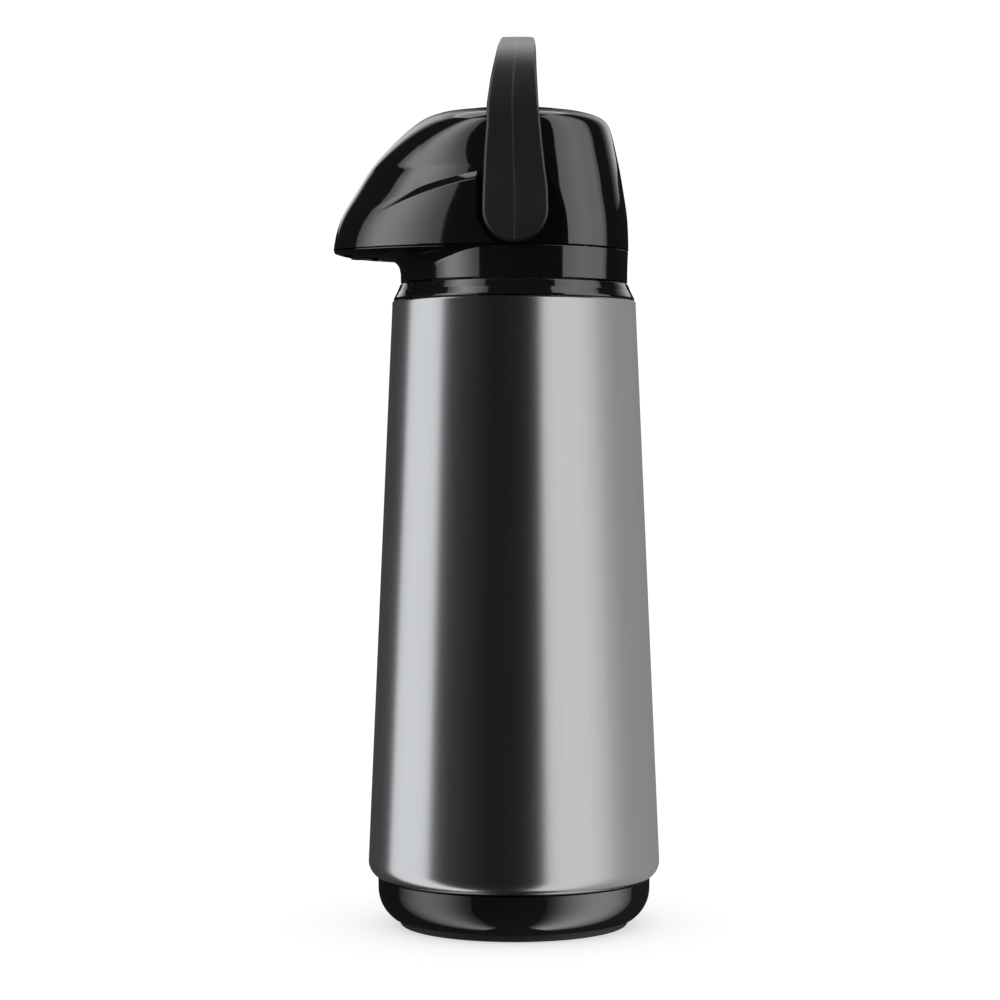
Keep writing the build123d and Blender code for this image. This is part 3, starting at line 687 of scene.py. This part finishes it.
def arch_path():
    """Outer and inner points (y, z) along the bail from an arm's tip to the crown, and their lengths."""
    tip = [ARM_LOW + ARM_END_R * (1 - math.cos(turn)) for turn in np.linspace(0, math.pi / 2, 26)]
    arm = list(np.linspace(PIVOT_Z, ARCH_TOP - ARCH_R_OUT, 26)[1:])
    centre_out = (-ARM_OUT + ARCH_R_OUT, ARCH_TOP - ARCH_R_OUT)
    centre_in = (-ARM_IN + ARCH_R_IN, ARCH_UNDER - ARCH_R_IN)
    outer, inner = [], []
    for z in tip + arm:
        outer.append((-ARM_OUT, z))
        lag = max(0.0, (z - 305.0) / (centre_out[1] - 305.0))
        inner.append((-ARM_IN, z - lag * (centre_out[1] - centre_in[1])))
    outer += arc(centre_out, ARCH_R_OUT, 180, 90, 40)[1:]
    inner += arc(centre_in, ARCH_R_IN, 180, 90, 40)[1:]
    for share in np.linspace(0, 1, 9)[1:]:
        outer.append((centre_out[0] * (1 - share), ARCH_TOP))
        inner.append((centre_in[0] * (1 - share), ARCH_UNDER))
    outer, inner = np.array(outer), np.array(inner)
    middle = (outer + inner) / 2
    length = np.concatenate([[0], np.cumsum(np.linalg.norm(np.diff(middle, axis=0), axis=1))])
    return outer, inner, length


def handle_shell():
    """The bail: rounded-rectangle sections along its arch, with round ends and a parting line."""
    outer, inner, length = arch_path()
    mirror = np.array((-1, 1))
    outer = np.vstack([outer, (outer * mirror)[-2::-1]])
    inner = np.vstack([inner, (inner * mirror)[-2::-1]])
    length = np.concatenate([length, 2 * length[-1] - length[-2::-1]])
    count = len(length)

    z = outer[:, 1]
    below = np.clip(PIVOT_Z - z, 0, ARM_END_R)
    round_end = np.sqrt(ARM_END_R**2 - below**2) / ARM_END_R
    front = np.interp(z, HANDLE_EDGES[:, 0], HANDLE_EDGES[:, 1]) * round_end
    rear = np.interp(z, HANDLE_EDGES[:, 0], HANDLE_EDGES[:, 2]) * round_end
    edges = {}
    for name, x, sign in (("front", front, -1.0), ("rear", rear, 1.0)):
        slope_x, slope_t = np.gradient(x), np.gradient(length)
        at_tip = np.zeros(count, bool)
        at_tip[[0, -1]] = True
        normal = np.stack([-sign * slope_t, sign * slope_x], axis=1)
        normal[at_tip] = [(0, 1), (0, -1)]
        normal /= np.linalg.norm(normal, axis=1)[:, None]
        edges[name] = (np.stack([x, length], axis=1), normal)

    def edge_ring(name, inset):
        """Points (x, place along the arch) of one edge, moved in from the side."""
        line, normal = edges[name]
        return line + inset * normal

    def lift(flat, share):
        """A point of the flat strip at a share of the thickness, from inner face 0 to outer face 1."""
        x, place = flat[:, 0], flat[:, 1]
        out = np.stack([np.interp(place, length, outer[:, k]) for k in (0, 1)], axis=1)
        into = np.stack([np.interp(place, length, inner[:, k]) for k in (0, 1)], axis=1)
        thickness = np.linalg.norm(out - into, axis=1)
        share = share(thickness) if callable(share) else share
        yz = into + (out - into) * np.reshape(share, (-1, 1))
        return np.column_stack([x, yz])

    r = HANDLE_EDGE_R
    ring = []
    turns = np.radians(np.linspace(0, 90, 6))
    for name in ("front", "rear"):
        rounding = []
        for turn in turns:
            inset = r * (1 - math.sin(turn))
            rise = r * (1 - math.cos(turn))
            rounding.append((inset, lambda t, rise=rise: rise / t))
        for turn in turns[::-1]:
            inset = r * (1 - math.sin(turn))
            rise = r * (1 - math.cos(turn))
            rounding.append((inset, lambda t, rise=rise: 1 - rise / t))
        side = [lift(edge_ring(name, inset), share) for inset, share in rounding]
        if name == "front":
            ring += side
            # outer face, from front to rear, slightly crowned, with a thin raised parting line
            left, right = edge_ring("front", r), edge_ring("rear", r)
            width = np.maximum(np.abs(right[:, 0] - left[:, 0]), 0.5)
            line = np.minimum(PARTING_HALF_WIDTH / width, 0.07)
            for place in (0.05, 0.2, 0.35, -6, -2.4, -1, 1, 2.4, 6, 0.65, 0.8, 0.95):
                on_line = abs(place) >= 1
                share = 0.5 + place * line if on_line else np.full(count, place)
                flat = left * (1 - share)[:, None] + right * share[:, None]
                crown = FACE_CROWN * (1 - (2 * share - 1) ** 2) * np.clip(width / 12, 0, 1)
                if abs(place) == 1:
                    crown = crown + PARTING_RISE
                ring.append(lift(flat, lambda t, crown=crown: 1 + crown / t))
        else:
            ring += side[::-1]
    # inner face, from rear to front
    left, right = edge_ring("front", r), edge_ring("rear", r)
    for share in (0.9, 0.7, 0.5, 0.3, 0.1):
        flat = left * (1 - share) + right * share
        ring.append(lift(flat, 0.0))
    points = np.array(ring).transpose(1, 0, 2)
    return points, grid_faces(points.shape[0], points.shape[1], False, True)


def pin_shell(side):
    """A pin on an arm's inner face, chamfered at its end, with a pilot hole for the screw."""
    outline = rounded(
        [
            (1.25, 36.9, 0.15),
                (PIN_R, 36.9, 0.5),
            (PIN_R, ARM_IN - 0.4, 0.0),
            (5.6, ARM_IN + 0.3, 0.0),
            (1.25, ARM_IN + 0.3, 0.0),
        ]
    )
    return along_y(lathe(outline, 96), 0, PIVOT_Z, side)


def handle_piece():
    """The bail handle with its two moulded pins."""
    shells = [handle_shell(), pin_shell(1), pin_shell(-1)]
    return make_piece("bail_handle", shells, "handle", "black_satin", ["handle"], sharp=50.0)


# ---------------------------------------------------------------- pump


def pad_piece():
    """The pad that a hand presses: a low dome on a skirt, with three catches."""
    outline = []
    for radius in (0.0, 3, 6, 9, 12, 15, 18, 20.5, 23, 25, 26.5, 27.6, 28.3):
        outline.append((radius, PAD_CROWN - 2.0 * (radius / 30) ** 3.3))
    edge_z = PAD_CROWN - 2.0 * (28.3 / 30) ** 3.3
    outline += arc((PAD_R - 0.85, edge_z - 0.85), 0.85, 84, 0, 6)
    outline += [(PAD_R, 331.0), (29.0, 326.0), (29.0, PAD_LOW + 0.2), (28.8, PAD_LOW)]
    outline += [(27.4, PAD_LOW), (27.2, PAD_LOW + 0.2), (27.2, 332.5)]
    outline += [(8.0, 333.7), (8.0, 329.5), (0, 329.5)]
    shells = [lathe(outline)]
    catch = ((28.4, 0.0), (30.4, 0.0), (30.6, 0.2), (30.6, 1.6), (30.4, 1.8), (28.4, 1.8))
    for middle in (60, 180, 300):
        turns = np.radians(np.linspace(middle - 6.8, middle + 6.8, 9))
        rows = []
        for radius, height in catch:
            heights = np.full_like(turns, PAD_LOW + height)
            rows.append(np.stack([radius * np.cos(turns), radius * np.sin(turns), heights], axis=1))
        points = np.array(rows)
        quads = grid_faces(6, 9, True, False)
        caps = []
        for column in (0, 8):
            ring = [row * 9 + column for row in range(6)]
            caps += [(ring[0], ring[1], ring[2], ring[5]), (ring[2], ring[3], ring[4], ring[5])]
        shells.append((points, np.vstack([quads, np.array(caps)])))
    return make_piece("push_pad", shells, "press_pad", "black_gloss", ["press_pad"])


def bellows_piece():
    """The rubber bellows, with rounded folds."""
    folds, outer_r, inner_r, wall = 5, 26.0, 21.0, 1.2
    steps = folds * 12
    heights = np.linspace(BELLOWS_LOW, BELLOWS_TOP, steps + 1)
    wave = (1 - np.cos(np.linspace(0, 2 * math.pi * folds, steps + 1))) / 2
    radii = inner_r + (outer_r - inner_r) * wave**0.8
    outline = list(zip(radii, heights)) + list(zip(radii - wall, heights))[::-1]
    piece = make_piece("folded_bellows", [lathe(outline, 128)], "head", "silicone", ["bellows"])
    return piece


def spring_piece():
    """The return spring: a wire coil."""
    coil_r, wire_r, turns = 13.0, 0.8, 6
    low, high = span("return_spring", 2)
    places = np.linspace(0, 1, turns * 48 + 1)
    around = 2 * math.pi * turns * places
    centre = np.stack(
        [
            coil_r * np.cos(around),
            coil_r * np.sin(around),
            low + wire_r + (high - low - 2 * wire_r) * places,
        ],
        axis=1,
    )
    rows = []
    for turn in np.linspace(0, 2 * math.pi, 16, endpoint=False):
        out = wire_r * math.cos(turn)
        up = wire_r * math.sin(turn)
        lift = np.full_like(around, up)
        offset = np.stack([out * np.cos(around), out * np.sin(around), lift], axis=1)
        rows.append(centre + offset)
    tip_a, tip_b = centre[:1], centre[-1:]
    points = np.array([np.vstack([tip_a, row, tip_b]) for row in rows])
    shell = (points, grid_faces(points.shape[0], points.shape[1], True, False))
    return make_piece("coil_spring", [shell], "head", "bright_steel", ["return_spring"])


def build_pieces():
    """Every piece that stands for a CAD node."""
    shell_piece()
    cup_piece()
    foot_piece()
    neck_piece()
    hood_piece()
    base_piece()
    handle_piece()
    pad_piece()
    for piece in (bellows_piece(), spring_piece()):
        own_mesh(piece)


# ---------------------------------------------------------------- materials


def new_material(name, base, roughness, metallic=0.0, **sockets):
    """A Principled material; further sockets are given by name, with underscores for spaces."""
    material = bpy.data.materials.new(name)
    material.use_nodes = True
    shader = material.node_tree.nodes["Principled BSDF"]
    shader.inputs["Base Color"].default_value = (*base, 1.0)
    shader.inputs["Roughness"].default_value = roughness
    shader.inputs["Metallic"].default_value = metallic
    for socket, value in sockets.items():
        shader.inputs[socket.replace("_", " ")].default_value = value
    return material


def add_node(material, kind, **values):
    """A node with some of its properties or input sockets set."""
    node = material.node_tree.nodes.new(kind)
    for key, value in values.items():
        if hasattr(node, key):
            setattr(node, key, value)
        else:
            node.inputs[key.replace("_", " ")].default_value = value
    return node


def noise(material, scale, detail=3.0, rough=0.5):
    """A noise texture in the frame's metres."""
    tree = material.node_tree
    place = add_node(material, "ShaderNodeTexCoord")
    texture = add_node(material, "ShaderNodeTexNoise", Scale=scale, Detail=detail, Roughness=rough)
    tree.links.new(place.outputs["Object"], texture.inputs["Vector"])
    return texture.outputs["Fac"]


def spread(material, source, low, high, start=0.3, end=0.7):
    """Maps a texture from start..end to low..high."""
    tree = material.node_tree
    ranged = add_node(material, "ShaderNodeMapRange")
    for socket, value in zip(("From Min", "From Max", "To Min", "To Max"), (start, end, low, high)):
        ranged.inputs[socket].default_value = value
    tree.links.new(source, ranged.inputs["Value"])
    return ranged.outputs["Result"]


def drive(material, socket, source):
    """Links a texture to a socket of the material's shader."""
    shader = material.node_tree.nodes["Principled BSDF"]
    material.node_tree.links.new(source, shader.inputs[socket])


def add_bump(material, *layers):
    """Stacks bumps of (texture, strength, height in metres)."""
    tree = material.node_tree
    last = None
    for source, strength, height in layers:
        bump = add_node(material, "ShaderNodeBump", Strength=strength, Distance=height)
        tree.links.new(source, bump.inputs["Height"])
        if last is not None:
            tree.links.new(last, bump.inputs["Normal"])
        last = bump.outputs["Normal"]
    drive(material, "Normal", last)


def tint(material, source, dark, light):
    """A base colour that drifts between two tones."""
    tree = material.node_tree
    mix = add_node(material, "ShaderNodeMix", data_type="RGBA")
    mix.inputs[6].default_value = (*dark, 1.0)
    mix.inputs[7].default_value = (*light, 1.0)
    tree.links.new(source, mix.inputs[0])
    drive(material, "Base Color", mix.outputs[2])


def hairlines(material, around, along):
    """Streaks that run up a round piece: noise over its azimuth, drawn out along its height."""
    tree = material.node_tree
    place = add_node(material, "ShaderNodeTexCoord")
    flatten = add_node(material, "ShaderNodeVectorMath", operation="MULTIPLY")
    flatten.inputs[1].default_value = (1, 1, 0)
    spoke = add_node(material, "ShaderNodeVectorMath", operation="NORMALIZE")
    widen = add_node(material, "ShaderNodeVectorMath", operation="SCALE")
    widen.inputs["Scale"].default_value = around
    lift = add_node(material, "ShaderNodeVectorMath", operation="MULTIPLY")
    lift.inputs[1].default_value = (0, 0, along)
    join = add_node(material, "ShaderNodeVectorMath", operation="ADD")
    texture = add_node(material, "ShaderNodeTexNoise", Scale=1.0, Detail=3.0, Roughness=0.6)
    tree.links.new(place.outputs["Object"], flatten.inputs[0])
    tree.links.new(flatten.outputs["Vector"], spoke.inputs[0])
    tree.links.new(spoke.outputs["Vector"], widen.inputs[0])
    tree.links.new(place.outputs["Object"], lift.inputs[0])
    tree.links.new(widen.outputs["Vector"], join.inputs[0])
    tree.links.new(lift.outputs["Vector"], join.inputs[1])
    tree.links.new(join.outputs["Vector"], texture.inputs["Vector"])
    return texture.outputs["Fac"]


def brushed_steel():
    """Stainless sheet brushed along its height: faint upright hairlines and a satin sheen."""
    base = (0.60, 0.605, 0.615)
    material = new_material("brushed_steel_sheet", base, 0.21, metallic=1.0, Anisotropic=0.25)
    tangent = add_node(material, "ShaderNodeTangent", direction_type="RADIAL", axis="Z")
    drive(material, "Tangent", tangent.outputs["Tangent"])
    fine = hairlines(material, 170.0, 18.0)
    clouds = noise(material, 14.0, detail=3)
    tint(material, spread(material, fine, 0, 1), (0.59, 0.595, 0.607), (0.615, 0.62, 0.63))
    drive(material, "Roughness", spread(material, clouds, 0.20, 0.22))
    add_bump(material, (fine, 0.03, 0.00001))
    return material


def gloss_black():
    """Polished black moulding: a faint moulded waviness and slight differences of gloss."""
    material = new_material("gloss_black_moulding", (0.0065, 0.0065, 0.007), 0.06)
    handling = noise(material, 35.0, detail=5, rough=0.6)
    drive(material, "Roughness", spread(material, handling, 0.045, 0.085))
    tint(material, noise(material, 60.0), (0.006, 0.006, 0.0065), (0.0075, 0.0075, 0.008))
    waves = (noise(material, 45.0, detail=1), 0.05, 0.0004)
    grain = (noise(material, 900.0, detail=2), 0.03, 0.00003)
    add_bump(material, waves, grain)
    return material


def satin_black():
    """The bail's finely grained black plastic."""
    material = new_material("satin_black_moulding", (0.013, 0.013, 0.0135), 0.42)
    grain = noise(material, 2600.0, detail=3, rough=0.7)
    wear = noise(material, 26.0, detail=5, rough=0.6)
    drive(material, "Roughness", spread(material, wear, 0.36, 0.46))
    tint(material, wear, (0.011, 0.011, 0.0115), (0.016, 0.016, 0.0165))
    add_bump(material, (grain, 0.22, 0.00006))
    return material


def black_rubber():
    """Matt rubber of the foot and nozzle."""
    material = new_material("matt_black_rubber", (0.007, 0.007, 0.007), 0.75, Specular_IOR_Level=0.25)
    dust = noise(material, 120.0, detail=6, rough=0.7)
    tint(material, spread(material, dust, 0, 1, 0.35, 0.8), (0.006, 0.006, 0.006), (0.014, 0.0135, 0.013))
    drive(material, "Roughness", spread(material, dust, 0.68, 0.85))
    add_bump(material, (noise(material, 1800.0, detail=4), 0.3, 0.00008))
    return material


def moulded(name, dark, light, roughness):
    """An inner plastic moulding: two close tones, a soft sheen and a fine texture."""
    material = new_material(name, light, roughness)
    cloud = noise(material, 55.0, detail=4)
    tint(material, spread(material, cloud, 0, 1), dark, light)
    drive(material, "Roughness", spread(material, cloud, roughness - 0.05, roughness + 0.05))
    add_bump(material, (noise(material, 1500.0, detail=3), 0.12, 0.00005))
    return material


def silicone():
    """Translucent white silicone of the seals and bellows."""
    material = moulded("milky_silicone", (0.66, 0.66, 0.62), (0.74, 0.74, 0.70), 0.45)
    shader = material.node_tree.nodes["Principled BSDF"]
    shader.inputs["Subsurface Weight"].default_value = 0.25
    shader.inputs["Subsurface Scale"].default_value = 0.002
    return material


def silvered_glass():
    """Glass with a silver layer behind it, as in a vacuum flask."""
    material = new_material("silvered_flask_glass", (0.80, 0.82, 0.84), 0.08, metallic=1.0)
    shader = material.node_tree.nodes["Principled BSDF"]
    shader.inputs["Coat Weight"].default_value = 1.0
    shader.inputs["Coat Roughness"].default_value = 0.02
    ripple = noise(material, 30.0, detail=2)
    drive(material, "Roughness", spread(material, ripple, 0.05, 0.13))
    tint(material, spread(material, ripple, 0, 1), (0.74, 0.76, 0.79), (0.86, 0.87, 0.88))
    add_bump(material, (ripple, 0.10, 0.0008))
    return material


def bright_steel():
    """Plain bright steel of screws, washers, ball and spring."""
    material = new_material("bright_steel_wire", (0.66, 0.66, 0.67), 0.22, metallic=1.0)
    lines = noise(material, 700.0, detail=4, rough=0.7)
    drive(material, "Roughness", spread(material, lines, 0.16, 0.32))
    tint(material, lines, (0.58, 0.58, 0.59), (0.72, 0.72, 0.73))
    add_bump(material, (lines, 0.08, 0.00003))
    return material


def build_materials():
    """One material for each of the record's slots."""
    return {
        "shell_steel": brushed_steel(),
        "black_gloss": gloss_black(),
        "black_satin": satin_black(),
        "black_rubber": black_rubber(),
        "grey_plastic": moulded("grey_inner_moulding", (0.17, 0.17, 0.175), (0.22, 0.22, 0.225), 0.5),
        "white_plastic": moulded("white_inner_moulding", (0.70, 0.70, 0.67), (0.80, 0.80, 0.77), 0.42),
        "silicone": silicone(),
        "silvered_glass": silvered_glass(),
        "bright_steel": bright_steel(),
    }


def dress_pieces():
    """Gives every piece and every CAD node its slot's material, and returns the pieces by slot."""
    materials = build_materials()
    slots = {part["node"]: part["material_slot"] for part in frame["record"]["subparts"]}
    dressed = {slot: [] for slot in materials}
    for piece in bpy.context.scene.objects:
        if piece.type != "MESH":
            continue
        slot = piece.get("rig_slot") or slots[piece["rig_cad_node"]]
        piece.data.materials.clear()
        piece.data.materials.append(materials[slot])
        dressed[slot].append(piece)
    return dressed


# ---------------------------------------------------------------- stage

STUDIO_CENTRE = Vector((0, 0, 0.2))
PANEL_DISTANCE = 1.6


def receivers(name, pieces):
    """A collection of the pieces that a group of lights falls on."""
    group = bpy.data.collections.new(name)
    for piece in pieces:
        group.objects.link(piece)
    return group


def shade_light(light, across):
    """Brightness of a panel from its left to its right side, as (place, brightness) stops."""
    light.use_nodes = True
    tree = light.node_tree
    geometry = tree.nodes.new("ShaderNodeNewGeometry")
    split = tree.nodes.new("ShaderNodeSeparateXYZ")
    ramp = tree.nodes.new("ShaderNodeValToRGB")
    ramp.color_ramp.interpolation = "EASE"
    stops = ramp.color_ramp.elements
    while len(stops) < len(across):
        stops.new(0.5)
    for stop, (place, brightness) in zip(stops, across):
        stop.position = place
        stop.color = (brightness, brightness, brightness, 1)
    tree.links.new(geometry.outputs["Parametric"], split.inputs[0])
    tree.links.new(split.outputs["X"], ramp.inputs["Fac"])
    tree.links.new(ramp.outputs["Color"], tree.nodes["Emission"].inputs["Color"])


def panel(name, start, end, low, high, radiance, group, across=None, colour=(1, 1, 1)):
    """An upright softbox between two azimuths and two elevations in degrees, for one group."""
    light = bpy.data.lights.new(name, "AREA")
    light.shape = "RECTANGLE"
    half = math.radians(end - start) / 2
    light.size = 2 * PANEL_DISTANCE * math.tan(half)
    bottom = PANEL_DISTANCE * math.tan(math.radians(low))
    top = PANEL_DISTANCE * math.tan(math.radians(high))
    light.size_y = top - bottom
    light.energy = radiance * math.pi * light.size * light.size_y
    light.color = colour
    if across:
        shade_light(light, across)
    azimuth = math.radians((start + end) / 2)
    outward = Vector((math.sin(azimuth), -math.cos(azimuth), 0))
    lamp = bpy.data.objects.new(name, light)
    bpy.context.scene.collection.objects.link(lamp)
    up = Vector((0, 0, 1))
    place = STUDIO_CENTRE + outward * PANEL_DISTANCE + up * (bottom + top) / 2
    facing = Matrix((up.cross(outward), up, outward)).transposed().to_4x4()
    lamp.matrix_world = Matrix.Translation(place) @ facing
    lamp.visible_camera = False
    lamp.light_linking.receiver_collection = group
    return lamp


def ceiling(name, x, y, z, size_x, size_y, radiance, group, tilt=(0, 0, 0)):
    """A softbox overhead, which lights one group."""
    light = bpy.data.lights.new(name, "AREA")
    light.shape = "RECTANGLE"
    light.size = size_x
    light.size_y = size_y
    light.energy = radiance * math.pi * size_x * size_y
    lamp = bpy.data.objects.new(name, light)
    bpy.context.scene.collection.objects.link(lamp)
    lamp.location = (x, y, z)
    lamp.rotation_euler = [math.radians(turn) for turn in tilt]
    lamp.visible_camera = False
    lamp.light_linking.receiver_collection = group
    return lamp


def build_lights(dressed):
    """Panels left and right, tuned apart for the steel, the dark head, the cup and the inner pieces."""
    steel = receivers("steel_group", dressed["shell_steel"] + dressed["silvered_glass"])
    black_pieces = dressed["black_gloss"] + dressed["black_satin"] + dressed["black_rubber"]
    low_names = ("bottom_cup", "anti_slip_ring")
    base = receivers("base_group", [piece for piece in black_pieces if piece.name in low_names])
    black = receivers("black_group", [piece for piece in black_pieces if piece.name not in low_names])
    other_slots = ("grey_plastic", "white_plastic", "silicone", "bright_steel")
    other = receivers("inner_group", [piece for slot in other_slots for piece in dressed[slot]])

    panel("steel_left", -113, -69, -74, 50, 1.02, steel, colour=(0.97, 0.985, 1.0))
    panel("steel_left_fade", -69, -22, -74, 50, 0.07, steel, across=((0, 1), (0.35, 0.45), (1, 0.06)))
    panel("steel_right", 24, 80, -74, 50, 0.90, steel, across=((0, 1), (0.6, 0.97), (1, 0.75)))
    panel("steel_right_wing", 80, 178, -74, 50, 0.56, steel, across=((0, 1), (0.35, 0.68), (1, 0.42)))
    panel("steel_back_left", -179, -116, -74, 50, 0.045, steel)

    panel("black_left", -84, -35, -14, 66, 4.4, black, across=((0, 0.3), (0.4, 1), (1, 0.28)))
    right_fall = ((0, 0.8), (0.42, 1), (0.8, 0.75), (1, 0.35))
    panel("black_right", 49, 105, -14, 66, 2.7, black, across=right_fall)
    soft_sides = ((0, 0.1), (0.5, 1), (1, 0.1))
    panel("black_back_left", -176, -136, 14, 60, 1.6, black, across=soft_sides)
    panel("black_back_right", 128, 176, 14, 60, 1.2, black, across=soft_sides)
    ceiling("black_top", 0, 0.5, 1.7, 1.3, 1.0, 2.6, black)
    bail = receivers("bail_group", dressed["black_satin"])
    ceiling("bail_top", 0, 0.9, 1.3, 1.2, 1.2, 1.2, bail, tilt=(-35, 0, 0))

    panel("base_left", -112, -36, -78, 30, 2.4, base, across=((0, 0.1), (0.5, 1), (1, 0.12)))
    panel("base_right", 27, 116, -78, 30, 3.8, base, across=((0, 0.06), (0.5, 1), (1, 0.12)))

    panel("inner_left", -110, -30, -30, 45, 0.9, other)
    panel("inner_right", 30, 110, -30, 45, 0.7, other)
    ceiling("inner_top", 0, 0, 1.7, 1.6, 1.6, 0.9, other)


def build_floor():
    """A pale floor that takes a soft shadow where the pot stands."""
    mesh = bpy.data.meshes.new("floor")
    reach = 30.0
    corners = [(-reach, -reach, 0), (reach, -reach, 0), (reach, reach, 0), (-reach, reach, 0)]
    mesh.from_pydata(corners, [], [(0, 1, 2, 3)])
    floor = bpy.data.objects.new("floor", mesh)
    bpy.context.scene.collection.objects.link(floor)
    floor.visible_glossy = False
    floor.visible_diffuse = False
    floor.visible_shadow = False
    material = new_material("pale_floor", (0.5, 0.5, 0.5), 1.0)
    shader = material.node_tree.nodes["Principled BSDF"]
    shader.inputs["Specular IOR Level"].default_value = 0.0
    shader.inputs["Emission Color"].default_value = (1, 1, 1, 1)
    shader.inputs["Emission Strength"].default_value = 0.62
    mesh.materials.append(material)
    sky = bpy.data.lights.new("floor_sky", "SUN")
    sky.angle = math.radians(120)
    sky.energy = math.pi * 0.45 / 0.5
    lamp = bpy.data.objects.new("floor_sky", sky)
    bpy.context.scene.collection.objects.link(lamp)
    lamp.light_linking.receiver_collection = receivers("floor_group", [floor])


def build_world():
    """White behind the pot, and near-dark for what the pot reflects."""
    world = bpy.data.worlds.new("studio")
    bpy.context.scene.world = world
    world.use_nodes = True
    tree = world.node_tree
    background = tree.nodes["Background"]
    path = tree.nodes.new("ShaderNodeLightPath")
    shade = tree.nodes.new("ShaderNodeMapRange")
    shade.inputs["To Min"].default_value = 0.013
    shade.inputs["To Max"].default_value = 1.05
    tree.links.new(path.outputs["Is Camera Ray"], shade.inputs["Value"])
    tree.links.new(shade.outputs["Result"], background.inputs["Strength"])
    background.inputs["Color"].default_value = (1, 1, 1, 1)


def build_camera():
    """A long lens a little above the pot's middle, looking slightly down."""
    lens = bpy.data.cameras.new("camera")
    lens.sensor_width = 36.0
    lens.lens = 99.72
    camera = bpy.data.objects.new("camera", lens)
    bpy.context.scene.collection.objects.link(camera)
    camera.location = (-0.0058, -1.150, 0.1991)
    camera.rotation_euler = (math.radians(90 - 1.156), 0, 0)
    bpy.context.scene.camera = camera
    bpy.context.scene.view_settings.view_transform = "Standard"


build_pieces()
pieces_by_slot = dress_pieces()
build_camera()
build_floor()
build_world()
build_lights(pieces_by_slot)
